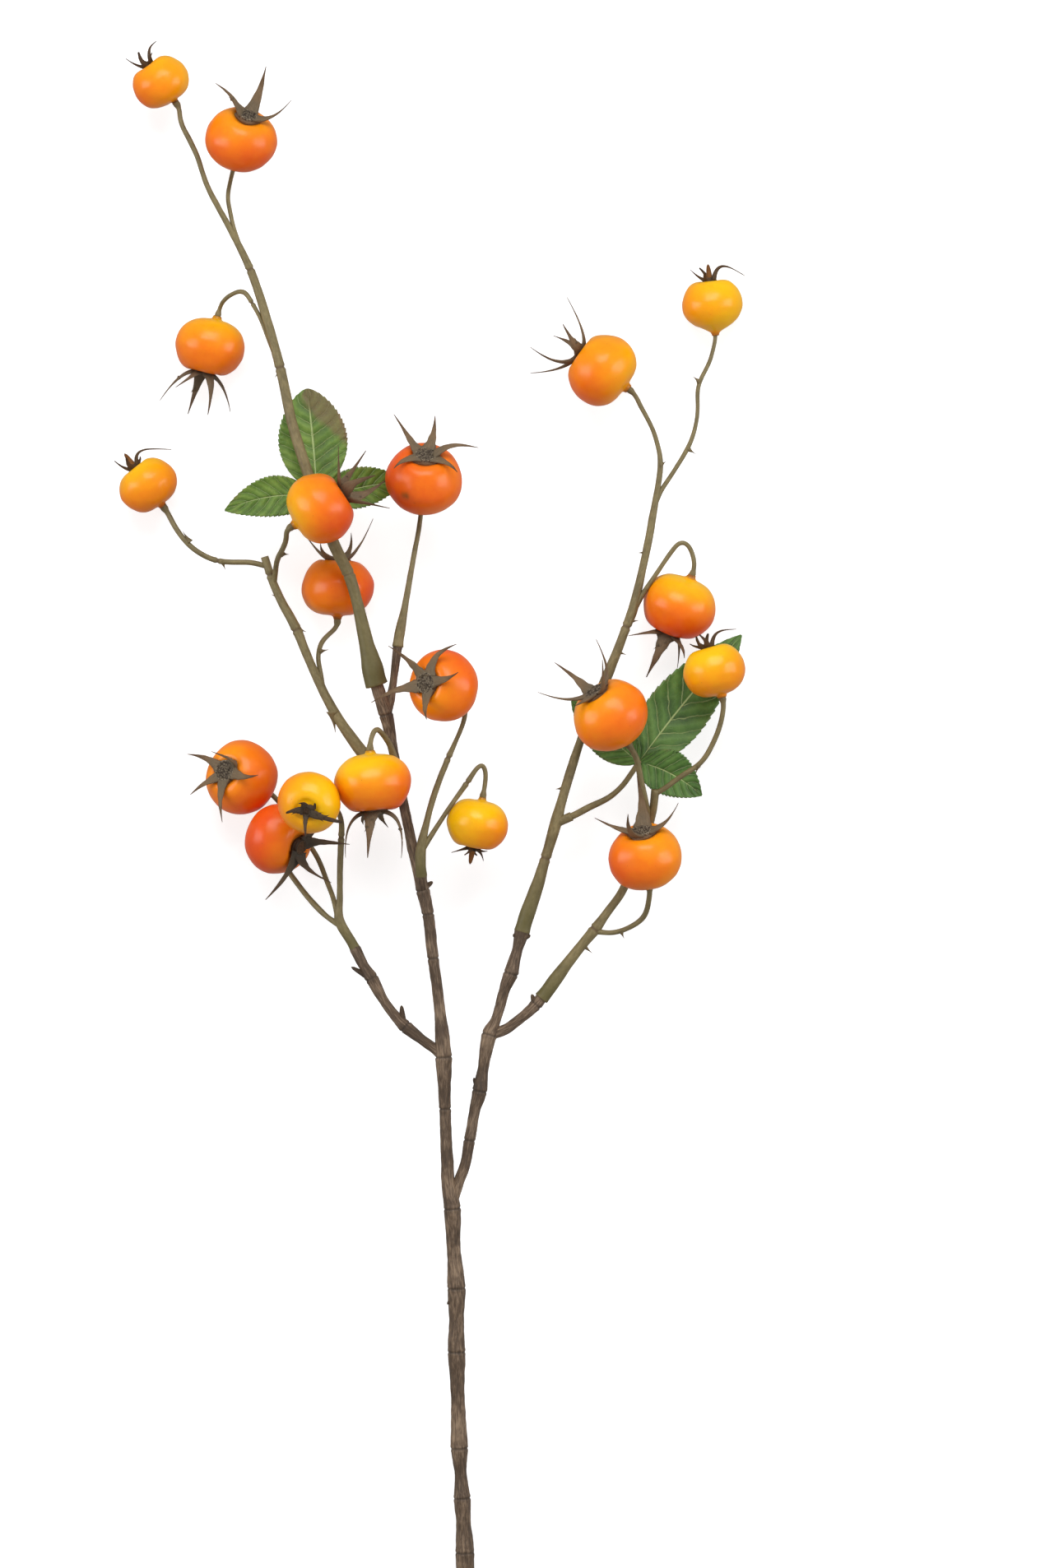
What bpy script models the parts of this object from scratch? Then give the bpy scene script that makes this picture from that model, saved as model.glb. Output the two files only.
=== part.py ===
"""Rose hip sprig, lying on its back.

A cut woody stem forks into boughs. A green twig sits on the end of each bough and carries
pedicels, each with a rose hip at its end. Every hip wears a calyx: a dried disc with sepals.
Two compound leaves, of three toothed leaflets each, grow from the twigs.

The sprig lies with its length along Y, its cut end toward -Y and its calyxes mostly upward. It
rests on three low points: the cut end of the stem and the undersides of two hips, each ground
flat where it touches. Lengths below are in millimetres, and meshes are made in metres.
"""

import math
from dataclasses import dataclass

import bmesh
import bpy
from mathutils import Matrix, Vector

MM = 0.001

# ---- driving dimensions, millimetres -------------------------------------------------------
GAP = 0.3                 # clearance between two pieces that touch
TWIG_STEPS = 2            # straight pieces between two points of a twig's route
HIP_STEPS = 12            # facets round a hip
HIP_SQUATNESS = 0.395     # half a ripe hip's length, as a share of its width
TEPAL_HIP_SQUATNESS = 0.415
NECK_REACH = 1.13         # how far the neck stands out, in half lengths of the hip
DIMPLE_DEPTH = 0.86       # where the dimple's floor lies, in half lengths of the hip
DISC_SHARE = 0.27         # calyx disc's radius, as a share of the hip's radius
DISC_RISE = 1.4           # how far the disc stands above the hip's rim
SEPAL_RISE = 1.0          # height of a sepal's middle above the rim
SEPAL_WIDTH = 3.8
TEPAL_WIDTH = 2.4
BLADE = 0.8               # thickness of sepals and leaflets
LEAD_IN = 2.5             # a pedicel's last stretch, in line with its hip
LEAFLET_TEETH = 8         # teeth on each edge of a leaflet
LEAF_FOLD = 1.2           # how far a leaflet's edges rise above its midrib

BARK = ("bark", (0.147, 0.105, 0.071), 0.75)
GREEN_TWIG = ("green_twig", (0.202, 0.174, 0.080), 0.60)
LEAF_GREEN = ("leaf_green", (0.077, 0.191, 0.036), 0.55)
DRIED_CALYX = ("dried_calyx", (0.128, 0.089, 0.058), 0.70)
RIPE_ORANGE = ("ripe_orange", (0.94, 0.25, 0.02), 0.30)
AMBER_YELLOW = ("amber_yellow", (0.98, 0.46, 0.01), 0.30)


@dataclass(frozen=True)
class Hip:
    """One fruit: centre and width in mm, where its calyx points, and its sepal tips.

    azimuth is in degrees from +X toward +Y, and tilt in degrees above the horizontal. Each
    sepal is the place of its tip, in mm from the middle of the calyx disc.
    """

    centre: tuple
    azimuth: float
    tilt: float
    width: float
    sepals: tuple
    long_sepals: bool = True

    @property
    def axis(self):
        """Unit vector from the stem end to the calyx."""
        flat = math.cos(math.radians(self.tilt))
        return Vector((flat * math.cos(math.radians(self.azimuth)),
                       flat * math.sin(math.radians(self.azimuth)),
                       math.sin(math.radians(self.tilt))))

    @property
    def half_length(self):
        """Half the length along the axis, from the middle to the rim of the dimple."""
        return self.width * (HIP_SQUATNESS if self.long_sepals else TEPAL_HIP_SQUATNESS)

    def on_axis(self, height):
        """The point at this height along the axis, in mm from the centre."""
        return Vector(self.centre) + self.axis * height


HIPS = {
    "hip_01": Hip((-98.4, 270.3, 15), 126, 0, 20.8,
                  ((-6, 0, 4), (-2, 3, 5), (5, 4, 5), (7, 7, 0)), False),
    "hip_02": Hip((-69, 249.3, 20), 74, 32, 26.2,
                  ((-12, 13, 5), (7, 18, -1), (16, 6, 7), (-6, 7, -3))),
    "hip_03": Hip((-80.5, 174, 12.3), -104, 0, 25.5,
                  ((-17, -9, 4), (-6, -15, -6), (2, -15, 9), (9, -13, -5), (-9, -5, 10))),
    "hip_04": Hip((-103.2, 123.1, 13), 126, 0, 21.6,
                  ((-7, 1, 3), (-2, 5, 5), (14, 5, 0), (-5, -2, -4)), False),
    "hip_05": Hip((-40.2, 114.3, 47.5), 33, 0, 26.6,
                  ((-2, 15, 10), (8, 14, -9), (10, 7, 14), (15, 3, -11), (15, -5, 9))),
    "hip_06": Hip((-2.4, 125.1, 30), 85, 33, 27.9,
                  ((-11, 15, 0), (4, 14, -6), (19, 3, 1), (-12, -5, 9), (12, -7, 9))),
    "hip_07": Hip((-34, 85.8, 14.2), 90, 0, 26.4,
                  ((13, 14, 0), (6, 9, -10), (-7, 5, 10), (-12, 9, -4))),
    "hip_08": Hip((4.8, 49.8, 41), 171, 53, 26.1,
                  ((-13, 14, 0), (9, 16, 3), (12, 3, 10), (-20, -5, 0), (-1, -14, 10))),
    "hip_09": Hip((17.2, -0.6, 30), -101, 0, 22.8,
                  ((-7, -1, 2), (-3, -2, 5), (1, -7, 2), (5, -5, 3), (3, -4, -5)), False),
    "hip_10": Hip((-21, 14.4, 42), -86, 0, 27.9,
                  ((-10, -16, 1), (-2, -16, 9), (13, -16, 3), (8, -10, -8), (-6, -12, -8))),
    "hip_11": Hip((-69, 16.5, 16), 151, 50, 27,
                  ((-13, 7, -3), (-4, 6, 12), (12, -3, 10), (-13, -8, 0), (-2, -19, 4))),
    "hip_12": Hip((-43.9, 7.2, 48.5), -111, 70, 22.8,
                  ((-7, 1, 2), (3, 3, 4), (0, -8, 2), (13, -3, 2)), False),
    "hip_13": Hip((-55.5, -6, 21), -20, 35, 25.8,
                  ((18, 2, 4), (10, -12, 5), (-11, -18, 4), (8, 9, -1))),
    "hip_14": Hip((62.7, 165.3, 16), 144, 0, 26.9,
                  ((-3, 20, 0), (-4, 9, 11), (-8, 7, -9), (-18, 1, 5), (-17, -8, -3))),
    "hip_15": Hip((102.9, 189.6, 10.65), 96, 0, 22.2,
                  ((-7, 2, 2), (0, 4, 6), (13, 1, 1), (-3, 5, -5)), False),
    "hip_16": Hip((90.9, 79.1, 16), -112, -10, 27,
                  ((-14, -1, 10), (-7, -16, 3), (7, -9, 12), (3, -14, -6), (-11, -10, -6))),
    "hip_17": Hip((103.5, 55.5, 34), 106, 0, 22.8,
                  ((-7, -1, 3), (-5, 2, 5), (1, 4, 7), (11, 5, 0), (-2, 4, -6)), False),
    "hip_18": Hip((65.7, 38.9, 42), 122, 20, 28.2,
                  ((-13, 10, -5), (3, 17, 2), (2, 10, 13), (-19, -3, 1), (-8, -6, 12))),
    "hip_19": Hip((78.3, -12.6, 34), 98, 28, 27.0,
                  ((-17, 6, 2), (-6, 6, 12), (-2, 21, -1), (13, 11, 5))),
}

# ---- stems: (x, y, z, radius) along each route, millimetres --------------------------------
STEM = ((13, -284, 2.55, 3), (12.5, -267, 5, 3.45), (12, -256, 6.5, 2.7), (11.5, -247, 7.5, 3),
        (11, -238, 8.5, 2.2), (10.5, -228.5, 9.5, 3.15), (10, -210, 11.5, 2.5),
        (9.5, -193.5, 13, 3.2), (9.5, -181.5, 14.2, 2.7), (9.5, -170, 15.5, 3.3),
        (8.5, -156, 17, 2.5), (8, -141, 18.8, 3), (6.5, -131, 20, 2.4),
        (5.3, -104.5, 22, 2.05), (4.8, -85.5, 24, 2.9), (3.3, -67, 25.5, 2), (1, -49.5, 26.5, 2.05),
        (-0.8, -33.5, 27.5, 2.05), (-2.7, -24.5, 28, 2.4), (-5.5, -13.5, 28, 1.9),
        (-9.8, 7, 28, 1.8), (-13.8, 28, 29, 1.8), (-16.2, 39.5, 30, 2.5), (-19.8, 51, 31.1, 2.3))
FORK_B = ((-16, 39.5, 30, 1.8), (-14.5, 45, 29.5, 1.6), (-13.2, 53.5, 29, 1.4), (-11.8, 65, 28, 1.7))
FORK_C = ((-10, 7, 28, 1.6), (-12, 10.5, 27, 1.7), (-14.5, 14, 26.2, 1.8))
FORK_D = ((-13, 25, 28.8, 1.2), (-14, 27, 30.5, 1.1), (-14.8, 28.3, 32.8, 1.1))
FORK_E = ((-2.5, -24.5, 28, 1.7), (-3, -22.5, 30.5, 1.8), (-3.3, -18.5, 32.5, 1.9))
RIGHT_BOUGH = ((8, -138.5, 19, 2.1), (10, -132, 19, 2.1), (12.7, -124.5, 19.5, 1.95),
               (14.3, -116, 20, 2.05), (16, -106, 20, 1.95), (18, -98, 20.5, 2.65),
               (19.2, -89.5, 21, 2), (21.5, -77.5, 21.5, 2.7), (23.9, -72, 22, 1.9),
               (27.1, -61, 22.5, 2), (29.3, -55, 23, 2.6), (31.8, -46, 23, 1.9), (33.6, -39, 23, 2.85))
FORK_H = ((21.5, -77.5, 21.5, 1.95), (27, -75.8, 21, 1.9), (33.5, -71, 20.5, 1.85),
          (38.5, -66.5, 20, 2.2), (41, -63.5, 20, 2.2))
LEFT_BOUGH = ((5, -85.5, 24, 1.95), (2.5, -83, 23.5, 1.95), (-2.6, -79.6, 23, 1.85),
              (-9, -74.5, 22.5, 2.35), (-12, -71.5, 22.5, 1.95), (-17, -65, 22, 1.8),
              (-21.4, -56.9, 22, 2.35), (-24.5, -52, 22, 1.9), (-27.7, -45.6, 22, 2.1))
STEM_BUDS = (((9.5, -172, 15.4), (6, -176, 16), 1.2), ((-2.5, -24, 28), (1, -21.5, 28.5), 1.3),
             ((-10, -73.5, 22.5), (-10.5, -66.5, 23), 1.4), ((-21.5, -57, 22), (-29, -52.5, 22.5), 1.3),
             ((18, -98, 20.5), (15.8, -93, 21), 1.4), ((29, -55, 23), (32.3, -55, 23.3), 1.4),
             ((33.2, -42, 23), (30, -40.8, 23.5), 1.5), ((33.2, -42, 23), (36.6, -41.2, 23.5), 1.5),
             ((38, -66, 20), (37, -62.5, 20.5), 1.2))

TWIG_A = ((-21, 56.3, 31.2, 3.6), (-21.9, 60, 31.3, 3), (-23.2, 65, 31.5, 2.5), (-26.2, 78.5, 31.2, 2.25),
          (-29.7, 90.5, 31, 2.25), (-35, 101, 31, 2.2), (-40, 114.5, 31, 2.1),
          (-45, 128.5, 30.5, 2), (-50.5, 146, 28, 1.9), (-54.8, 166, 25, 1.8), (-61, 188, 22, 1.65),
          (-65.8, 202, 21, 1.5), (-73, 216.5, 20.5, 1.15), (-81.3, 232, 19.5, 0.95),
          (-85.5, 244.3, 18.5, 0.95), (-91.2, 255.7, 17, 0.9))
PEDICEL_02 = ((-68, 206.5, 20.5, 0.8), (-71.5, 216, 20.5, 0.8), (-73, 222.5, 19, 0.8),
              (-74, 229, 16.5, 0.8))
PEDICEL_03 = ((-57, 171, 24, 0.8), (-61.5, 183, 21.5, 0.8), (-65, 189.5, 20.5, 0.8),
              (-68, 194, 19, 0.9), (-71.5, 193.5, 17.5, 0.8), (-75.5, 190.9, 15.5, 0.8))
TWIG_B = ((-11, 70, 27.8, 1.9), (-9, 80.5, 27.3, 1.2), (-6.2, 96.5, 25, 1), (-4.2, 107, 22.3, 0.9))
TWIG_C = ((-20.5, 21, 25, 2.1), (-25.8, 26.8, 25, 2.25), (-35.8, 41.6, 24.5, 1.75),
          (-44.5, 59.8, 23, 1.6), (-48.7, 70.4, 22, 1.75), (-54.8, 81.6, 21, 1.6),
          (-58.5, 90.5, 20, 1.45), (-60.5, 97, 19.5, 1.45))
PEDICEL_04 = ((-59.5, 93.5, 19.5, 1), (-65, 95, 19, 1), (-77.5, 95.5, 18, 1),
              (-86.2, 99.7, 17, 1), (-92, 106, 15.5, 1))
PEDICEL_05 = ((-57, 87.5, 20.5, 1), (-56.5, 92, 23, 1), (-55.7, 96, 30, 1),
              (-53.8, 99.6, 37, 1), (-52.4, 103, 43, 1))
PEDICEL_07 = ((-39, 47.5, 24, 0.95), (-40, 54.5, 22, 0.9), (-41, 60, 20.5, 0.9),
              (-39.6, 66.2, 17, 0.9))
TWIG_D = ((-17.5, 32.5, 37, 0.95), (-20, 34.5, 40.5, 0.95))
TWIG_E = ((-3.5, -10, 34, 1.95), (-1.5, -0.5, 34, 1.25), (1.5, 10.5, 33.5, 1.15),
          (6.5, 23.5, 33, 1.05), (9.4, 30, 32, 0.85), (12.5, 38, 30, 0.85))
PEDICEL_09 = ((-3.5, -11, 34, 1.1), (-0.5, -6, 34, 1), (6.8, 5.2, 33, 0.85), (13.3, 14.4, 32, 1),
              (17, 20, 31.5, 0.85), (19, 21.5, 31, 0.85), (20.3, 18, 30.3, 0.85))
TWIG_F = ((-33.5, -35.5, 23, 1.8), (-33, -29, 23.5, 1.2), (-33, -18, 24.5, 1.1),
          (-32.5, -5.5, 26, 1.15), (-32.5, 1.5, 29, 0.95), (-36, 7.5, 33.5, 0.95))
PEDICEL_11 = ((-33.5, -36.5, 23, 1.1), (-35, -29, 20, 0.95), (-38, -21, 14.5, 0.95),
              (-41.5, -12.5, 10, 0.95), (-48.5, -2, 6, 0.95), (-54.5, 6.5, 4, 0.95))
PEDICEL_13 = ((-33, -37.5, 22.5, 1.2), (-37, -35, 21, 1), (-40.6, -31.7, 19, 1.1),
              (-45.2, -26.7, 14, 1.05), (-50, -20.5, 9, 1), (-56, -12.5, 5.5, 1),
              (-63, -5, 6, 0.95))
TWIG_G = ((35.8, -32, 23.3, 2.75), (39, -23, 23.5, 2.4), (42, -13, 23.5, 1.85),
          (45.7, -0.5, 23, 2.2), (47.5, 6.5, 22.5, 1.8), (51.2, 19, 21, 1.75), (54.8, 30, 20, 1.5),
          (59.5, 42, 20, 1.7), (64.5, 53.5, 20.5, 1.9), (68.5, 63.5, 21, 1.7), (71.5, 71.5, 21, 1.6),
          (73.8, 77.5, 20.5, 1.8), (76.8, 90, 20, 1.45), (79.5, 102.5, 19.5, 1.45),
          (81.5, 114, 19, 1.3), (83, 122.5, 18.5, 1.1), (84, 130.5, 18, 1.05),
          (83.4, 136, 17.5, 0.85), (81, 144, 17, 0.8), (76.8, 151.9, 16.5, 0.85))
PEDICEL_15 = ((81.7, 115.5, 18.8, 1), (84, 121, 18.2, 0.9), (89, 128.5, 17.5, 0.85),
              (95, 139, 16, 0.85), (97.5, 149, 14.5, 0.75), (97.8, 159.5, 13.2, 0.8),
              (102, 168.5, 12, 0.75))
PEDICEL_16 = ((73.8, 76.5, 20.5, 1.1), (77.2, 83, 20.5, 1), (82.3, 90.6, 20.5, 0.85),
              (88, 99, 20, 0.85), (91, 102.3, 19.8, 0.85), (93.8, 101.8, 19.5, 0.85),
              (96.1, 96.8, 19, 0.85))
LEAF_2_SPUR = ((45, -0.5, 23, 1.8), (48, 0.8, 23.3, 1.7), (51.5, 2.3, 23.7, 1.7))
TWIG_H = ((45, -58, 20, 2.55), (49.5, -52, 20, 2.15), (55, -45, 20, 1.85), (60, -39, 20, 2),
          (64.8, -32.4, 19.5, 1.55), (70.4, -24.4, 18, 1.55), (75.5, -12, 17.5, 1.5),
          (78.5, -4.5, 20, 1.45), (80.5, 1.5, 24.5, 1.45), (81.6, 7.5, 28.5, 1.45),
          (82, 12, 29.5, 1.6))
PEDICEL_17 = ((82, 10.5, 29.3, 1), (85.5, 12.5, 30, 0.95), (91.5, 17, 31, 0.95), (98.9, 22.1, 32, 0.95),
              (103.5, 30, 33, 0.95), (106, 37, 33.7, 0.95))
PEDICEL_18 = ((80, 0, 23.5, 1.1), (78.5, 7.5, 30, 1.1), (76.5, 16.5, 33, 1.1),
              (75.2, 23.5, 34.8, 1.1))
PEDICEL_19 = ((59.5, -39.5, 20, 1.2), (63.5, -40.2, 20.5, 0.95), (67, -40.2, 21, 0.95),
              (73, -38.1, 22.5, 0.95), (78.3, -33.8, 24, 1))

# ---- thorns: root, tip and root radius, millimetres ----------------------------------------
THORNS_A = (((-54.5, 165, 25), (-57, 162.5, 25.8), 1.2),)
THORNS_C = (((-35.5, 40.5, 24.7), (-35, 32.5, 25), 1.8), ((-48.5, 71, 22), (-45.3, 69.3, 22.5), 1.2),
            ((-55, 82, 21), (-58, 83.5, 21.5), 1.2), ((-76, 95.5, 18), (-75, 92, 18.5), 1),
            ((-88, 102.5, 16.5), (-90.5, 106.8, 17.5), 1), ((-54, 98, 34), (-51.3, 97.5, 35.5), 1),
            ((-40.5, 62.5, 19.3), (-37, 63, 20), 1))
THORNS_G = (((49, 12.5, 21.8), (45.5, 12.5, 22.5), 1.3), ((68, 62.5, 21), (71.5, 61, 21.6), 1.2),
            ((72.5, 73.5, 21), (76, 73.5, 21.3), 1.2), ((78.8, 98.5, 19.7), (75.6, 98.7, 20.3), 1),
            ((84, 130.5, 18), (86.2, 131.8, 18.4), 1), ((94, 136.5, 16.3), (97, 134.3, 16.7), 0.9),
            ((98.2, 161, 13), (95.8, 163.3, 13.5), 0.9))
THORNS_H = (((55.5, -44.5, 20), (59, -48, 20.5), 1.3), ((69.5, -39.5, 21.7), (70.5, -42.5, 22), 1),
            ((97.5, 20.8, 31.8), (96.5, 17.5, 31.5), 0.9))

# ---- leaves: midribs as (x, y, z), and half widths, millimetres ----------------------------
LEAF_1_STALK = ((-42.5, 117.5, 27.3, 0.9), (-42, 120, 27.2, 0.9), (-41.5, 124.5, 26.3, 0.9))
LEAF_1_LEAFLETS = ((((-41.5, 122, 26.6), (-43, 141, 23.5), (-45, 158.4, 20.5)), 12.9),
                   (((-42, 118.5, 27), (-58, 119, 25), (-75, 114, 21)), 7.5),
                   (((-42, 118.5, 27), (-25, 122.5, 21.5), (-10, 125, 13.5)), 7.5))
LEAF_2_STALK = ((57.5, 5.5, 24.5, 1.3), (65, 9, 25, 1.1), (71, 14.5, 25, 1), (76, 22, 25, 1))
LEAF_2_LEAFLETS = ((((76, 22, 25), (92, 43, 20.5), (113.5, 68.5, 14.5)), 11.5),
                   (((76, 22, 25), (87.5, 18, 23.5), (99, 10, 18)), 8.5),
                   (((76, 22, 25), (64.5, 32, 25.6), (51.5, 44.5, 26)), 8))


# ---- scene helpers -------------------------------------------------------------------------
def clear_scene():
    """Remove the objects that the file starts with."""
    for item in list(bpy.data.objects):
        bpy.data.objects.remove(item, do_unlink=True)


def new_collection(name):
    """A new collection in the scene."""
    collection = bpy.data.collections.new(name)
    bpy.context.scene.collection.children.link(collection)
    return collection


def new_material(name, finish):
    """A Principled material, from the finish's colour and roughness."""
    _, colour, roughness = finish
    material = bpy.data.materials.new(name)
    material.use_nodes = True
    shader = material.node_tree.nodes["Principled BSDF"]
    shader.inputs["Base Color"].default_value = (*colour, 1)
    shader.inputs["Roughness"].default_value = roughness
    shader.inputs["Metallic"].default_value = 0
    return material


def finish_node(item, finish, smooth_angle=40):
    """Give a finished sub-part its own material and smooth shading."""
    item.data.materials.clear()
    item.data.materials.append(new_material(f"{item.name}_{finish[0]}", finish))
    item.data.shade_smooth()
    item.data.set_sharp_from_angle(angle=math.radians(smooth_angle))
    return item


def mesh_object(name, mesh, collection):
    """An object that holds this mesh, in the collection."""
    item = bpy.data.objects.new(name, mesh)
    collection.objects.link(item)
    return item


def baked(item, collection):
    """A plain mesh object with the same shape as item, whose caps are welded; item is removed."""
    graph = bpy.context.evaluated_depsgraph_get()
    mesh = bpy.data.meshes.new_from_object(item.evaluated_get(graph), depsgraph=graph)
    cleaner = bmesh.new()
    cleaner.from_mesh(mesh)
    bmesh.ops.remove_doubles(cleaner, verts=cleaner.verts, dist=0.01 * MM)
    bmesh.ops.recalc_face_normals(cleaner, faces=cleaner.faces)
    cleaner.to_mesh(mesh)
    cleaner.free()
    name, place = item.name, item.matrix_world.copy()
    bpy.data.objects.remove(item, do_unlink=True)
    solid = mesh_object(name, mesh, collection)
    solid.matrix_world = place
    return solid


def fused(name, pieces, finish, collection):
    """One body from closed pieces that run into each other, by one union on a collection."""
    operands = new_collection(f"{name}_pieces")
    trunk, *branches = pieces
    for piece in branches:
        operands.objects.link(piece)
        collection.objects.unlink(piece)
    union = trunk.modifiers.new("Union", "BOOLEAN")
    union.operation = "UNION"
    union.operand_type = "COLLECTION"
    union.collection = operands
    union.solver = "EXACT"
    bpy.context.view_layer.update()
    trunk.name = name
    body = baked(trunk, collection)
    body.name = name
    for piece in branches:
        bpy.data.objects.remove(piece, do_unlink=True)
    bpy.data.collections.remove(operands)
    return finish_node(body, finish)


# ---- shapes --------------------------------------------------------------------------------
def smooth_route(points, steps):
    """Points on a Catmull-Rom curve through the route's own points, radii included.

    The first and last stretches stay straight, so that each end is cut square to them.
    """
    rows = [Vector(point) for point in points]
    route = [rows[0]]
    for before, start, end, after in zip(rows, rows[1:], rows[2:], rows[3:]):
        for step in range(steps):
            t = step / steps
            route.append(0.5 * (2 * start + (end - before) * t
                                + (2 * before - 5 * start + 4 * end - after) * t ** 2
                                + (3 * start - before - 3 * end + after) * t ** 3))
    return route + rows[-2:]


def stem_tube(name, points, collection, steps=1, resolution=1):
    """A round stem along (x, y, z, radius) points, closed at both ends."""
    curve = bpy.data.curves.new(name, "CURVE")
    curve.dimensions = "3D"
    curve.bevel_depth = MM
    curve.bevel_resolution = resolution
    curve.use_fill_caps = True
    route = smooth_route(points, steps)
    spline = curve.splines.new("POLY")
    spline.points.add(len(route) - 1)
    for point, (x, y, z, radius) in zip(spline.points, route):
        point.co = (x * MM, y * MM, z * MM, 1)
        point.radius = radius
    item = bpy.data.objects.new(name, curve)
    collection.objects.link(item)
    bpy.context.view_layer.update()
    return baked(item, collection)


def thorn(name, root, tip, radius, collection):
    """A five-sided cone from inside a stem to its point."""
    reach = Vector(tip) - Vector(root)
    place = Matrix.Translation((Vector(root) + reach / 2) * MM)
    turn = reach.to_track_quat("Z", "Y").to_matrix().to_4x4()
    builder = bmesh.new()
    bmesh.ops.create_cone(builder, cap_ends=True, segments=5, radius1=radius * MM,
                          radius2=0.25 * MM, depth=reach.length * MM, matrix=place @ turn)
    mesh = bpy.data.meshes.new(name)
    builder.to_mesh(mesh)
    builder.free()
    return mesh_object(name, mesh, collection)


def thorns(name, rows, collection):
    """The thorns or buds of one stem."""
    return [thorn(f"{name}_{index}", *row, collection) for index, row in enumerate(rows)]


def butt_joint(route, points):
    """The points of a twig that starts GAP beyond the end of a bough, in line with it."""
    before, end = (Vector(point[:3]) for point in route[-2:])
    along = (end - before).normalized()
    radius = points[0][3]
    return [(*(end + along * GAP), radius), (*(end + along * 3), radius), *points]


def to_neck(points, hip):
    """A pedicel's points, led to the hip's neck and ended GAP before it."""
    neck = hip.half_length * NECK_REACH
    radius = points[-1][3]
    return [*points, (*hip.on_axis(-neck - LEAD_IN), radius), (*hip.on_axis(-neck - GAP), radius + 0.3)]


def hip_profile(hip):
    """A hip's (radius, height) profile, from the dimple's floor down the side to the neck."""
    radius, half = hip.width / 2, hip.half_length
    shares = [(0, DIMPLE_DEPTH), (0.31, DIMPLE_DEPTH), (0.41, 1.0), (0.64, 0.92), (0.87, 0.60),
              (1.0, 0.08), (0.95, -0.36), (0.72, -0.78), (0.32, -1.0), (0.16, -NECK_REACH),
              (0, -NECK_REACH)]
    return [(across * radius, along * half) for across, along in shares]


def axis_place(hip):
    """Matrix that lays a shape turned about Z along the hip's axis, at its centre."""
    turn = hip.axis.to_track_quat("Z", "Y").to_matrix().to_4x4()
    return Matrix.Translation(Vector(hip.centre) * MM) @ turn


def make_hip(name, hip, collection):
    """One hip: its profile turned about its axis."""
    mesh = bpy.data.meshes.new(name)
    points = [(x * MM, 0, z * MM) for x, z in hip_profile(hip)]
    mesh.from_pydata(points, [(i, i + 1) for i in range(len(points) - 1)], [])
    item = mesh_object(name, mesh, collection)
    item.matrix_world = axis_place(hip)
    turned = item.modifiers.new("Turned", "SCREW")
    turned.axis = "Z"
    turned.steps = turned.render_steps = HIP_STEPS
    turned.use_merge_vertices = True
    turned.merge_threshold = 0.01 * MM
    return finish_node(item, RIPE_ORANGE if hip.long_sepals else AMBER_YELLOW, 180)


def ribbon(name, rows, collection):
    """A blade of even thickness from rows of points across it, triangles alike on both faces."""
    across = len(rows[0])
    builder = bmesh.new()
    bmesh.ops.create_grid(builder, x_segments=across - 1, y_segments=len(rows) - 1)
    builder.verts.ensure_lookup_table()
    for index, vertex in enumerate(builder.verts):
        vertex.co = rows[index // across][index % across] * MM
    bmesh.ops.triangulate(builder, faces=builder.faces)
    mesh = bpy.data.meshes.new(name)
    builder.to_mesh(mesh)
    builder.free()
    item = mesh_object(name, mesh, collection)
    shell = item.modifiers.new("Blade", "SOLIDIFY")
    shell.thickness = BLADE * MM
    shell.offset = 0
    bpy.context.view_layer.update()
    return baked(item, collection)


def sepal(name, hip, tip, collection):
    """One sepal: a narrow blade from the disc, over the hip's rim and out to its tip."""
    middle = hip.on_axis(hip.half_length + SEPAL_RISE)
    reach = Vector(tip)
    outward = (reach - hip.axis * reach.dot(hip.axis)).normalized()
    sideways = hip.axis.cross(outward)
    bend = middle + outward * hip.width * 0.26 + hip.axis * 0.8
    width = SEPAL_WIDTH if hip.long_sepals else TEPAL_WIDTH
    rows = []
    for step, share in ((0, 1.0), (0.5, 0.75), (1, 0.25)):
        spot = (middle + outward) * (1 - step) ** 2 + bend * 2 * step * (1 - step) + (middle + reach) * step ** 2
        rows.append([spot - sideways * width * share / 2, spot + sideways * width * share / 2])
    return ribbon(name, rows, collection)


def make_calyx(name, hip, collection):
    """The dried disc in the hip's dimple, with its sepals."""
    low = hip.half_length * DIMPLE_DEPTH + GAP
    high = hip.half_length + DISC_RISE
    radius = hip.width / 2 * DISC_SHARE
    builder = bmesh.new()
    bmesh.ops.create_cone(builder, cap_ends=True, segments=8, radius1=radius * MM,
                          radius2=radius * MM, depth=(high - low) * MM,
                          matrix=axis_place(hip) @ Matrix.Translation((0, 0, (low + high) / 2 * MM)))
    mesh = bpy.data.meshes.new(name)
    builder.to_mesh(mesh)
    builder.free()
    disc = mesh_object(f"{name}_disc", mesh, collection)
    sepals = [sepal(f"{name}_{index}", hip, tip, collection) for index, tip in enumerate(hip.sepals)]
    return fused(name, [disc, *sepals], DRIED_CALYX, collection)


def leaflet(name, midrib, half_width, collection):
    """A toothed leaflet, folded up a little along its midrib."""
    base, bend, tip = (Vector(point) for point in midrib)
    up = Vector((0, 0, 1))
    sideways = up.cross(tip - base).normalized()
    count = 2 * LEAFLET_TEETH
    rows = []
    for index in range(count + 1):
        step = index / count
        spot = base * (1 - step) ** 2 + (2 * bend - base / 2 - tip / 2) * 2 * step * (1 - step) + tip * step ** 2
        outline = math.sin(math.pi * step ** 0.85) ** 0.75 if 0 < index < count else 0
        tooth = 1.06 if index % 2 else 0.92
        side = sideways * max(half_width * outline * tooth, 0.45)
        ahead = (tip - base).normalized() * (0.8 if index % 2 and 1 < index < count - 1 else 0)
        lift = up * LEAF_FOLD * outline
        rows.append([spot - side + ahead + lift, spot, spot + side + ahead + lift])
    return ribbon(name, rows, collection)


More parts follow.
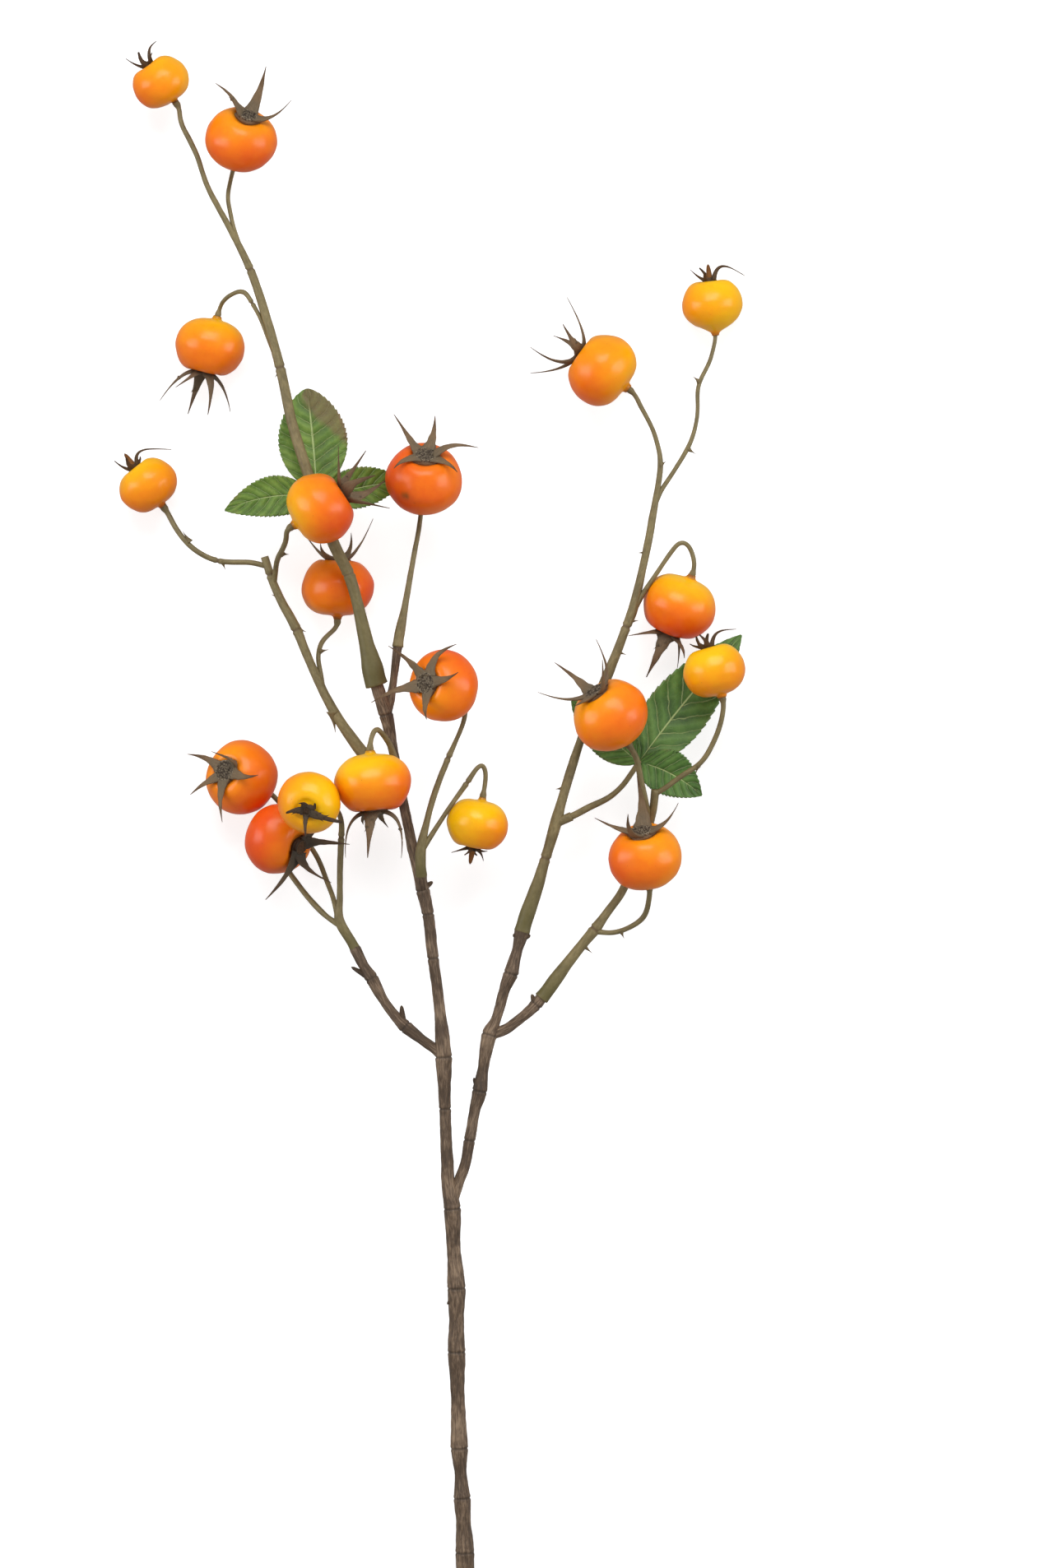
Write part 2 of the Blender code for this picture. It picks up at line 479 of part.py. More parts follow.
def make_leaf(name, stalk, leaflets, collection):
    """A compound leaf: a stalk and its leaflets as one body."""
    pieces = [stem_tube(f"{name}_stalk", stalk, collection)]
    for index, (midrib, half_width) in enumerate(leaflets):
        pieces.append(leaflet(f"{name}_{index}", midrib, half_width, collection))
    return fused(name, pieces, LEAF_GREEN, collection)


# ---- sub-parts -----------------------------------------------------------------------------
def make_woody_stem(collection):
    """The stem, its boughs and their buds, as one body."""
    pieces = [stem_tube("woody_stem", STEM, collection, 1, 2)]
    for route in (RIGHT_BOUGH, LEFT_BOUGH, FORK_B, FORK_C, FORK_D, FORK_E, FORK_H):
        pieces.append(stem_tube("bough", route, collection))
    pieces += thorns("bud", STEM_BUDS, collection)
    return fused("woody_stem", pieces, BARK, collection)


def make_twig(name, main, side_shoots, spines, collection):
    """A green twig with its side pedicels and thorns, as one body."""
    pieces = [stem_tube(name, main, collection, TWIG_STEPS)]
    pieces += [stem_tube(f"{name}_shoot", shoot, collection) for shoot in side_shoots]
    pieces += thorns(f"{name}_thorn", spines, collection)
    return fused(name, pieces, GREEN_TWIG, collection)


def make_twigs(collection):
    """The eight green twigs, each from the end of its bough to the necks of its hips."""
    neck = {name[-2:]: hip for name, hip in HIPS.items()}
    make_twig("twig_a", to_neck(butt_joint(STEM, TWIG_A), neck["01"]),
              [to_neck(PEDICEL_02, neck["02"]), to_neck(PEDICEL_03, neck["03"])], THORNS_A, collection)
    make_twig("twig_b", to_neck(butt_joint(FORK_B, TWIG_B), neck["06"]), [], [], collection)
    make_twig("twig_c", butt_joint(FORK_C, TWIG_C),
              [to_neck(PEDICEL_04, neck["04"]), to_neck(PEDICEL_05, neck["05"]),
               to_neck(PEDICEL_07, neck["07"])], THORNS_C, collection)
    make_twig("twig_d", to_neck(butt_joint(FORK_D, TWIG_D), neck["10"]), [], [], collection)
    make_twig("twig_e", to_neck(butt_joint(FORK_E, TWIG_E), neck["08"]),
              [to_neck(PEDICEL_09, neck["09"])], [], collection)
    make_twig("twig_f", to_neck(butt_joint(LEFT_BOUGH, TWIG_F), neck["12"]),
              [to_neck(PEDICEL_11, neck["11"]), to_neck(PEDICEL_13, neck["13"])], [], collection)
    make_twig("twig_g", to_neck(butt_joint(RIGHT_BOUGH, TWIG_G), neck["14"]),
              [to_neck(PEDICEL_15, neck["15"]), to_neck(PEDICEL_16, neck["16"]), LEAF_2_SPUR],
              THORNS_G, collection)
    make_twig("twig_h", butt_joint(FORK_H, TWIG_H),
              [to_neck(PEDICEL_17, neck["17"]), to_neck(PEDICEL_18, neck["18"]),
               to_neck(PEDICEL_19, neck["19"])], THORNS_H, collection)


def grind_flat(names, parts, cutters):
    """Cut the low points of these sub-parts flat at the surface that the sprig lies on."""
    builder = bmesh.new()
    size = Matrix.Diagonal((0.4, 0.8, 0.02, 1))
    bmesh.ops.create_cube(builder, size=1, matrix=Matrix.Translation((0, 0, -0.01)) @ size)
    mesh = bpy.data.meshes.new("surface_block")
    builder.to_mesh(mesh)
    builder.free()
    block = mesh_object("surface_block", mesh, cutters)
    block.hide_render = True
    block.display_type = "WIRE"
    for name in names:
        cut = parts.objects[name].modifiers.new("Flat spot", "BOOLEAN")
        cut.operation = "DIFFERENCE"
        cut.object = block
        cut.solver = "EXACT"


def centre_on_origin(parts, cutters):
    """Hang every object on an empty that puts the sprig's middle over the origin."""
    bpy.context.view_layer.update()
    graph = bpy.context.evaluated_depsgraph_get()
    corners = []
    for item in parts.objects:
        seen = item.evaluated_get(graph)
        corners += [item.matrix_world @ vertex.co for vertex in seen.data.vertices]
    middle = [(min(c[k] for c in corners) + max(c[k] for c in corners)) / 2 for k in (0, 1)]
    anchor = bpy.data.objects.new("sprig_origin", None)
    bpy.context.scene.collection.objects.link(anchor)
    for item in (*parts.objects, *cutters.objects):
        item.parent = anchor
    anchor.location = (-middle[0], -middle[1], 0)


def main():
    """Build the sprig."""
    clear_scene()
    parts = new_collection("rose_hip_sprig")
    cutters = new_collection("cutters")
    make_woody_stem(parts)
    make_twigs(parts)
    make_leaf("leaf_1", LEAF_1_STALK, LEAF_1_LEAFLETS, parts)
    make_leaf("leaf_2", butt_joint(LEAF_2_SPUR, LEAF_2_STALK), LEAF_2_LEAFLETS, parts)
    for name, hip in HIPS.items():
        make_hip(name, hip, parts)
        make_calyx(name.replace("hip", "calyx"), hip, parts)
    grind_flat(("woody_stem", "hip_03", "hip_15"), parts, cutters)
    centre_on_origin(parts, cutters)


main()
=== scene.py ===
"""Rose hip sprig, lying on its back: its finished look.

Nineteen hips hang on eight green twigs, which sit on the boughs of a cut woody stem. Every
hip wears a dried calyx with its sepals, and two compound leaves grow from the twigs. Each
piece here stands in the place of the plain piece of the same name in the model, and keeps
to its size. Lengths are in millimetres in the classes, and in metres in the meshes.
"""

import logging
import math
from collections.abc import Callable, Mapping, Sequence
from dataclasses import dataclass, field, replace
from enum import Enum

import bpy
from mathutils import Matrix, Vector, noise

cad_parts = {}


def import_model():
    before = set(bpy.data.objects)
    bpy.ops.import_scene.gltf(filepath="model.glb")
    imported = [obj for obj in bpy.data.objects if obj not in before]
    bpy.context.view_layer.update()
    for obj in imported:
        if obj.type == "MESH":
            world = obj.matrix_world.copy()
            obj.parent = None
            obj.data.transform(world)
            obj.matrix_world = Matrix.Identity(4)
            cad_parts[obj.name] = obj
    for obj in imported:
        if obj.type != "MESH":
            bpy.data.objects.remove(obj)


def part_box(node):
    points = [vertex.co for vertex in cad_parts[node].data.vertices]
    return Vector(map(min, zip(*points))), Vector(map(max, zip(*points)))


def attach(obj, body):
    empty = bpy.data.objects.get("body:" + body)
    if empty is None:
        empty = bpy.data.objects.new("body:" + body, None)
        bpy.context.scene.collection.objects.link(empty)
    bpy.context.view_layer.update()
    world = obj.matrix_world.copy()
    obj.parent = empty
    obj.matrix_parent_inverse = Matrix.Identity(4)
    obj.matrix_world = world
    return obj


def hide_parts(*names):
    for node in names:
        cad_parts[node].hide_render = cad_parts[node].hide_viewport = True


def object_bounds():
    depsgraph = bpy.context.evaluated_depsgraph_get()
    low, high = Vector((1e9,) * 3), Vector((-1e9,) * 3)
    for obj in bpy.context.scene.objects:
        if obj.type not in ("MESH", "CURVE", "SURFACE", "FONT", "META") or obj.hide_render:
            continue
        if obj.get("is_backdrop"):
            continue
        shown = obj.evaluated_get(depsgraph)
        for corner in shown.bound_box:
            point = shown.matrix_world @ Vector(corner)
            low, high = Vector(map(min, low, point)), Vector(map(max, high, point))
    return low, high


LOG = logging.getLogger("sprig")
MM = 0.001
RIGHT, AHEAD, UP = Vector((1, 0, 0)), Vector((0, 1, 0)), Vector((0, 0, 1))

WELD_REACH = 0.002      # points closer than this are one, in mm
GRAIN_PITCH = 4.0       # length of stem for one unit of grain, in mm
FULL_RELIEF = 0.6       # half width from which a stem has its full ridges, in mm
LEAF_VEINS = 8          # side veins on each half of a leaflet
VEIN_SLANT = 0.20       # how far a side vein runs on by the margin, as a share of the length

Point = tuple[float, float, float]
Route = tuple[tuple[float, ...], ...]
Profile = tuple[tuple[float, float], ...]


class Slot(Enum):
    """The finishes that the model's record names."""

    RIPE_HIP = "ripe_hip"
    AMBER_HIP = "amber_hip"
    CALYX = "dried_calyx"
    TWIG = "green_twig"
    LEAF = "leaf"
    BARK = "bark"


# ---- materials -------------------------------------------------------------------------------
def tint(code: str) -> tuple[float, float, float, float]:
    """The linear colour of an RRGGBB paint code.

    Args:
        code: Six hexadecimal digits.

    Returns:
        Red, green, blue and alpha.
    """
    shares = [int(code[place:place + 2], 16) / 255 for place in (0, 2, 4)]
    linear = [s / 12.92 if s <= 0.04045 else ((s + 0.055) / 1.055) ** 2.4 for s in shares]
    return (*linear, 1.0)


class Value:
    """An output of a node, which does sums with other values and with plain numbers."""

    def __init__(self, shader: "Shader", socket: bpy.types.NodeSocket) -> None:
        """Keep the shader and the socket."""
        self.shader = shader
        self.socket = socket

    def _math(self, operation: str, *terms: "Value | float", clamp: bool = False) -> "Value":
        """One Math node over these terms, in order."""
        settings = {"operation": operation, "use_clamp": clamp}
        return self.shader.node("ShaderNodeMath", settings, dict(enumerate(terms)))

    def __add__(self, other: "Value | float") -> "Value":
        """This plus the other."""
        return self._math("ADD", self, other)

    def __radd__(self, other: float) -> "Value":
        """The other plus this."""
        return self._math("ADD", other, self)

    def __sub__(self, other: "Value | float") -> "Value":
        """This less the other."""
        return self._math("SUBTRACT", self, other)

    def __rsub__(self, other: float) -> "Value":
        """The other less this."""
        return self._math("SUBTRACT", other, self)

    def __mul__(self, other: "Value | float") -> "Value":
        """This times the other."""
        return self._math("MULTIPLY", self, other)

    def __rmul__(self, other: float) -> "Value":
        """The other times this."""
        return self._math("MULTIPLY", other, self)

    def __neg__(self) -> "Value":
        """This with its sign turned."""
        return self._math("MULTIPLY", self, -1.0)

    def __abs__(self) -> "Value":
        """This without its sign."""
        return self._math("ABSOLUTE", self)

    def share(self) -> "Value":
        """This kept between 0 and 1."""
        return self._math("ADD", self, 0.0, clamp=True)

    def remainder(self) -> "Value":
        """What is left of this over the whole number below it."""
        return self._math("FRACT", self)

    def between(self, low: float, high: float) -> "Value":
        """0 at low and 1 at high, with a soft start and end; low may be the greater."""
        return self.shader.node("ShaderNodeMapRange", {"interpolation_type": "SMOOTHSTEP"},
                                {"Value": self, "From Min": low, "From Max": high})


class Shader:
    """A material built from nodes round one Principled shader."""

    def __init__(self, name: str) -> None:
        """Start a material with the Principled shader and the output.

        Args:
            name: The material's name.
        """
        self.material = bpy.data.materials.new(name)
        self.material.use_nodes = True
        self.tree = self.material.node_tree
        self.principled = self.tree.nodes["Principled BSDF"]

    def node(self, kind: str, settings: Mapping[str, object] | None = None,
             sockets: Mapping[int | str, object] | None = None, output: int | str = 0) -> Value:
        """Add a node.

        Args:
            kind: The node's type.
            settings: Its properties, set before its sockets.
            sockets: What goes in: a Value is joined on, and anything else is set.
            output: The output that is wanted.

        Returns:
            That output.
        """
        made = self.tree.nodes.new(kind)
        for name, setting in (settings or {}).items():
            setattr(made, name, setting)
        for name, content in (sockets or {}).items():
            self.fill(made.inputs[name], content)
        return Value(self, made.outputs[output])

    def fill(self, socket: bpy.types.NodeSocket, content: object) -> None:
        """Join a Value to a socket, or set the socket to a plain number or colour.

        Args:
            socket: The socket.
            content: What goes in.
        """
        if isinstance(content, Value):
            self.tree.links.new(content.socket, socket)
        else:
            socket.default_value = content

    def place(self) -> Value:
        """Where a point is, in metres."""
        return self.node("ShaderNodeTexCoord", output="Object")

    def number(self, name: str) -> Value:
        """A number that the mesh carries at each point."""
        return self.node("ShaderNodeAttribute", {"attribute_name": name}, output="Fac")

    def vector(self, name: str) -> Value:
        """A vector that the mesh carries at each point."""
        return self.node("ShaderNodeAttribute", {"attribute_name": name}, output="Vector")

    def stretched(self, vector: Value, x: float, y: float, z: float) -> Value:
        """A vector with each part times its own number."""
        return self.node("ShaderNodeVectorMath", {"operation": "MULTIPLY"}, {0: vector, 1: (x, y, z)})

    def clouds(self, vector: Value, scale: float, detail: float = 2.0, roughness: float = 0.5,
               distortion: float = 0.0) -> Value:
        """Soft noise.

        Args:
            vector: What it lies over.
            scale: How close-set it is.
            detail: How many finer layers it has.
            roughness: How strong the finer layers are.
            distortion: How far it is warped.

        Returns:
            The noise, from 0 to 1.
        """
        return self.node("ShaderNodeTexNoise", None,
                         {"Vector": vector, "Scale": scale, "Detail": detail,
                          "Roughness": roughness, "Distortion": distortion})

    def cells(self, vector: Value, scale: float, feature: str = "F1") -> Value:
        """Distance over a field of cells."""
        return self.node("ShaderNodeTexVoronoi", {"feature": feature},
                         {"Vector": vector, "Scale": scale}, "Distance")

    def mixed(self, share: Value | float, first: object, second: object) -> Value:
        """Two colours mixed, the second by this share."""
        settings = {"data_type": "RGBA", "blend_type": "MIX", "clamp_factor": True}
        return self.node("ShaderNodeMix", settings, {0: share, 6: first, 7: second}, 2)

    def blended(self, share: Value, stops: Sequence[tuple[float, str]]) -> Value:
        """Colours along a scale.

        Args:
            share: Where on the scale.
            stops: The places on the scale with their paint codes, in order.

        Returns:
            The colour.
        """
        made = self.node("ShaderNodeValToRGB", None, {"Fac": share})
        marks = made.socket.node.color_ramp.elements
        for index, (where, code) in enumerate(stops):
            mark = marks[index] if index < 2 else marks.new(where)
            mark.position = where
            mark.color = tint(code)
        return made

    def relief(self, height: Value, strength: float, depth: float) -> Value:
        """A normal bumped by this height: strength from 0 to 1, and depth in millimetres."""
        return self.node("ShaderNodeBump", None,
                         {"Height": height, "Strength": strength, "Distance": depth * MM})

    def finish(self, uniform: Mapping[str, object] | None = None, **varying: Value) -> bpy.types.Material:
        """Set the Principled shader's sockets.

        Args:
            uniform: Sockets that hold one value all over.
            varying: Values for sockets, named with _ for a space.

        Returns:
            The material.
        """
        for name, content in (uniform or {}).items():
            self.principled.inputs[name].default_value = content
        for name, content in varying.items():
            self.fill(self.principled.inputs[name.replace("_", " ").title()], content)
        return self.material


@dataclass(frozen=True)
class SkinFinish:
    """The waxy skin of a hip, from yellow through orange to red by the redness that the mesh carries, partly
    painted shade, with painted shade in brown round the dimple.
    """

    name: str = "hip_skin"
    scale: tuple[tuple[float, str], ...] = ((0.0, "FFC20A"), (0.25, "FFA40A"), (0.5, "FC8010"),
                                            (0.75, "EE5A16"), (1.0, "D23C18"))
    brown_and_dimple_shade: str = "8A5420"
    speck: str = "94501A"
    coat: float = 0.5

    def material(self) -> bpy.types.Material:
        """Build the material.

        Returns:
            The material, ready for a mesh.
        """
        shader = Shader(self.name)
        place = shader.place()
        mottle = shader.clouds(place, 95, 3, 0.55) - 0.5
        streak = shader.clouds(place, 420, 2, 0.6) - 0.5
        # the mesh's redness holds the hip's ripeness and painted shade on its side away from the top lamp
        ripeness_and_shade = (shader.number("blush_and_shade") + mottle * 0.26 + streak * 0.07).share()
        colour = shader.blended(ripeness_and_shade, self.scale)
        specks = shader.clouds(place, 900, 1, 0.5).between(0.76, 0.82) * 0.4
        colour = shader.mixed(specks, colour, tint(self.speck))
        # brown at the neck and in a bruise, and brown round the dimple as painted shade
        ends = shader.number("ends") * (shader.clouds(place, 600, 3, 0.6) * 0.9 + 0.5)
        colour = shader.mixed(ends.share(), colour, tint(self.brown_and_dimple_shade))
        pores = shader.clouds(place, 1500, 2, 0.5)
        dents = shader.clouds(place, 150, 2, 0.5)
        rough = mottle * 0.10 + ends * 0.3 + 0.32
        facing = 1.0 - shader.node("ShaderNodeLayerWeight", None, {"Blend": 0.35}, "Facing")
        return shader.finish(
            {"Coat Roughness": 0.27, "Subsurface Weight": 0.12,
             "Subsurface Radius": (1.0, 0.45, 0.12), "Subsurface Scale": 0.003,
             "Specular IOR Level": 0.12},
            base_color=colour, roughness=rough, coat_weight=facing * self.coat,
            normal=shader.relief(pores * 0.4 + dents * 2.0, 0.35, 0.10))


@dataclass(frozen=True)
class BarkFinish:
    """Woody bark with lengthwise grooves and pale flecks."""

    name: str = "bark"
    dark: str = "2C2117"
    middle: str = "5A4735"
    pale: str = "AC9277"
    green: str = "6C6040"

    def material(self) -> bpy.types.Material:
        """Build the material.

        Returns:
            The material, ready for a mesh.
        """
        shader = Shader(self.name)
        grain, place = shader.vector("grain"), shader.place()
        streaks = shader.clouds(shader.stretched(grain, 1.6, 1.6, 0.4), 2.2, 6, 0.6, 0.3)
        fibres = shader.clouds(shader.stretched(grain, 4.0, 4.0, 0.55), 2.6, 4, 0.6)
        patches = shader.clouds(place, 70, 3, 0.6)
        share = streaks * 0.5 + fibres * 0.35 + patches * 0.45 - 0.07
        colour = shader.blended(share.share(), ((0.36, self.dark), (0.56, self.middle), (0.80, self.pale)))
        flecks = shader.clouds(shader.stretched(grain, 5.0, 5.0, 0.9), 2.4, 2, 0.5).between(0.64, 0.74)
        colour = shader.mixed(flecks * 0.4, colour, tint(self.pale))
        tone = shader.number("tone")
        colour = shader.mixed((tone * 0.75).share(), colour, tint(self.dark))
        colour = shader.mixed((-tone * 0.8).share(), colour, tint(self.green))
        return shader.finish(
            {"Specular IOR Level": 0.45},
            base_color=colour, roughness=fibres * 0.3 + 0.36,
            normal=shader.relief(streaks * 0.7 + fibres * 0.7, 0.9, 0.6))


@dataclass(frozen=True)
class TwigFinish:
    """Smooth olive twig with faint streaks, brown at its joints and thorns."""

    name: str = "green_twig"
    dark: str = "4D4228"
    middle: str = "7A6D49"
    pale: str = "A29367"
    brown: str = "553D27"
    green: str = "5B552D"

    def material(self) -> bpy.types.Material:
        """Build the material.

        Returns:
            The material, ready for a mesh.
        """
        shader = Shader(self.name)
        grain, place = shader.vector("grain"), shader.place()
        streaks = shader.clouds(shader.stretched(grain, 1.2, 1.2, 0.7), 2.2, 4, 0.55, 0.4)
        patches = shader.clouds(place, 90, 4, 0.6)
        grime = shader.clouds(place, 420, 3, 0.65)
        share = streaks * 0.4 + patches * 0.4 + grime * 0.25
        colour = shader.blended(share.share(), ((0.26, self.dark), (0.52, self.middle), (0.84, self.pale)))
        colour = shader.mixed(grime.between(0.58, 0.74) * 0.3, colour, tint(self.brown))
        tone = shader.number("tone")
        colour = shader.mixed((tone * 0.9).share(), colour, tint(self.brown))
        colour = shader.mixed((-tone * 0.8).share(), colour, tint(self.green))
        return shader.finish(
            {"Specular IOR Level": 0.4},
            base_color=colour, roughness=patches * 0.2 + 0.42,
            normal=shader.relief(streaks * 0.5 + grime * 0.45, 0.5, 0.3))


@dataclass(frozen=True)
class SepalFinish:
    """Dried sepal: grey-brown with a green base, darker at the tip."""

    name: str
    base: str = "6C5E49"
    middle: str = "7E664A"
    tip: str = "644A33"
    pale: str = "A98E6E"
    dark: str = "37312A"

    def material(self) -> bpy.types.Material:
        """Build the material.

        Returns:
            The material, ready for a mesh.
        """
        shader = Shader(self.name)
        grain, place = shader.vector("grain"), shader.place()
        along = shader.number("along")
        streaks = shader.clouds(shader.stretched(grain, 2.2, 2.2, 0.6), 2.4, 5, 0.6, 0.3)
        patches = shader.clouds(place, 260, 3, 0.6)
        share = (along + (patches - 0.5) * 0.7).share()
        colour = shader.blended(share, ((0.05, self.base), (0.45, self.middle), (0.95, self.tip)))
        colour = shader.mixed(streaks.between(0.55, 0.75) * 0.5, colour, tint(self.pale))
        colour = shader.mixed(streaks.between(0.48, 0.30) * 0.6, colour, tint(self.tip))
        colour = shader.mixed((shader.number("tone") * 0.9).share(), colour, tint(self.dark))
        return shader.finish(
            {"Specular IOR Level": 0.35},
            base_color=colour, roughness=patches * 0.25 + 0.5,
            normal=shader.relief(streaks + patches * 0.4, 0.9, 0.35))


@dataclass(frozen=True)
class DiscFinish:
    """The crumbly dried middle of a calyx."""

    name: str = "calyx_disc"
    dark: str = "3A3027"
    middle: str = "645848"
    pale: str = "9C8E79"

    def material(self) -> bpy.types.Material:
        """Build the material.

        Returns:
            The material, ready for a mesh.
        """
        shader = Shader(self.name)
        place = shader.place()
        grains = shader.cells(place, 1350)
        crumbs = shader.clouds(place, 1300, 4, 0.7)
        share = (0.80 - grains) * 1.15 + (crumbs - 0.5) * 0.7 + shader.number("tone") * 0.25
        colour = shader.blended(share.share(), ((0.05, self.dark), (0.45, self.middle), (0.95, self.pale)))
        return shader.finish(
            {"Specular IOR Level": 0.3},
            base_color=colour, roughness=crumbs * 0.2 + 0.65,
            normal=shader.relief(crumbs * 0.6 - grains, 1.0, 0.5))


@dataclass(frozen=True)
class LeafFinish:
    """A leaflet's blade: green with pale veins, browning at the margin, with painted light and shade on its
    quilting.
    """

    name: str = "leaf_blade"
    dark: str = "3E5A1C"
    middle: str = "587828"
    light: str = "7E9B42"
    vein: str = "B4C684"
    brown: str = "765A40"
    veins: int = LEAF_VEINS

    def material(self) -> bpy.types.Material:
        """Build the material.

        Returns:
            The material, ready for a mesh.
        """
        shader = Shader(self.name)
        place = shader.place()
        across, along = shader.number("across"), shader.number("along")
        wander = (shader.clouds(place, 190, 2, 0.5) - 0.5) * 0.06
        out = abs(across)
        phase = ((along + wander - out * VEIN_SLANT) * self.veins).remainder()
        nearness = abs(phase - 0.5) * 2.0
        side_veins = nearness.between(0.86, 1.0) * (1.0 - out * 0.5) * along.between(0.02, 0.12)
        midrib = out.between(0.05, 0.012)
        net = shader.cells(place, 620, "DISTANCE_TO_EDGE").between(0.10, 0.0) * 0.3
        patches = shader.clouds(place, 120, 4, 0.6)
        # the bulges between the veins are painted lighter and the blade by the veins darker: painted light
        # and shade of the quilting, which also raises the bump
        quilt_relief_and_shade = (1.0 - nearness) * 0.25
        share = patches * 0.75 + quilt_relief_and_shade + out * 0.06
        colour = shader.blended(share.share(), ((0.28, self.dark), (0.5, self.middle), (0.76, self.light)))
        colour = shader.mixed(net * 0.5, colour, tint(self.light))
        colour = shader.mixed((side_veins * 0.6 + midrib * 0.8).share(), colour, tint(self.vein))
        margin = (out + (patches - 0.5) * 0.6).between(0.96, 1.1)
        burnt = (shader.number("tone") + (patches - 0.5) * 1.1).between(0.25, 0.75)
        brown = (margin * 0.35 + burnt * 0.8).share()
        colour = shader.mixed(brown * 0.85, colour, tint(self.brown))
        raised = quilt_relief_and_shade * 1.3 - side_veins * 0.45 - midrib * 0.8 - net * 0.3 + patches * 0.25
        return shader.finish(
            {"Specular IOR Level": 0.45, "Subsurface Weight": 0.05, "Subsurface Scale": 0.001},
            base_color=colour, roughness=patches * 0.2 + 0.42,
            normal=shader.relief(raised, 0.8, 0.5))


@dataclass(frozen=True)
class FloorFinish:
    """Smooth white studio floor."""

    name: str = "studio_floor"
    pale: str = "D8D8D8"
    shade: str = "D2D2D2"
    glow: float = 0.62

    def material(self) -> bpy.types.Material:
        """Build the material.

        Returns:
            The material, ready for a mesh.
        """
        shader = Shader(self.name)
        cloud = shader.clouds(shader.place(), 3, 2, 0.5)
        return shader.finish({"Specular IOR Level": 0.0, "Emission Color": (1, 1, 1, 1),
                              "Emission Strength": self.glow},
                             base_color=shader.mixed(cloud, tint(self.pale), tint(self.shade)),
                             roughness=cloud * 0.1 + 0.8)


# ---- forms -----------------------------------------------------------------------------------
Relief = Callable[[float, float], float]


@dataclass(frozen=True)
class Station:
    """One place along a swept form: its section there, and how it is toned."""

    centre: Vector
    side: Vector
    rise: Vector
    half_width: float
    half_depth: float
    fold: float = 0.0
    tone: float = 0.0

    def narrowed(self, share: float) -> "Station":
        """This section at a share of its width and depth."""
        return replace(self, half_width=self.half_width * share, half_depth=self.half_depth * share)

    def moved(self, way: Vector) -> "Station":
        """This section moved by a vector."""
        return replace(self, centre=self.centre + way)


def alone(item: bpy.types.Object) -> bpy.types.Object:
    """Select one object and nothing else.

    Args:
        item: The object.

    Returns:
        The same object, now the active one.
    """
    bpy.ops.object.select_all(action="DESELECT")
    item.select_set(True)
    bpy.context.view_layer.objects.active = item
    return item


def carry(item: bpy.types.Object, name: str, numbers: Sequence[float]) -> None:
    """Write a number, or a vector of three, on each point of a mesh for its material.

    Args:
        item: The object.
        name: What the material calls it.
        numbers: One number a point, or three, in the points' order.
    """
    vector = len(numbers) == 3 * len(item.data.vertices)
    kept = item.data.attributes.new(name, "FLOAT_VECTOR" if vector else "FLOAT", "POINT")
    kept.data.foreach_set("vector" if vector else "value", numbers)


def held(number: float) -> float:
    """A number kept between 0 and 1."""
    return min(1.0, max(0.0, number))


def travelled_to(spots: Sequence[Vector]) -> list[float]:
    """How far along a line each of its spots lies.

    Args:
        spots: The line's spots in order.

    Returns:
        The distances from the first spot.
    """
    reach = [0.0]
    for before, after in zip(spots, spots[1:]):
        reach.append(reach[-1] + (after - before).length)
    return reach


def arc(start: Vector, bend: Vector, end: Vector, t: float) -> Vector:
    """The spot at share t of a curve from start to end that is drawn toward bend."""
    return start * (1 - t) ** 2 + bend * 2 * t * (1 - t) + end * t ** 2


def put_away(item: bpy.types.Object) -> bpy.types.Object:
    """Take a master out of the scene, so that only its copies show."""
    bpy.context.scene.collection.objects.unlink(item)
    return item


def enclosed(item: bpy.types.Object) -> float:
    """The volume that a closed form takes up.

    Args:
        item: The form.

    Returns:
        The volume, which is negative where the form is inside out.
    """
    mesh = item.data
    mesh.calc_loop_triangles()
    spots = [vertex.co for vertex in mesh.vertices]
    middle = sum(spots, Vector()) / len(spots)
    corners = ([spots[corner] - middle for corner in triangle.vertices]
               for triangle in mesh.loop_triangles)
    return sum(first.dot(second.cross(third)) for first, second, third in corners) / 6


def welded(item: bpy.types.Object) -> bpy.types.Object:
    """Close a wrapped sheet along its seam and at its ends, and turn its faces out.

    Args:
        item: The sheet.

    Returns:
        The same object, closed and smooth.
    """
    alone(item)
    bpy.ops.object.mode_set(mode="EDIT")
    bpy.ops.mesh.select_all(action="SELECT")
    bpy.ops.mesh.remove_doubles(threshold=WELD_REACH * MM)
    bpy.ops.mesh.normals_make_consistent(inside=False)
    bpy.ops.object.mode_set(mode="OBJECT")
    if enclosed(item) < 0:
        item.data.flip_normals()
    bpy.ops.object.shade_smooth()
    return item


def sheet(name: str, across: int, along: int) -> bpy.types.Object:
    """A flat sheet of squares, ready to be shaped.

    Args:
        name: The object's name.
        across: Squares across it.
        along: Squares along it.

    Returns:
        The sheet, whose points run across it and then along.
    """
    bpy.ops.object.select_all(action="DESELECT")
    bpy.ops.mesh.primitive_grid_add(x_subdivisions=across, y_subdivisions=along, size=1)
    item = bpy.context.active_object
    item.name = item.data.name = name
    return item


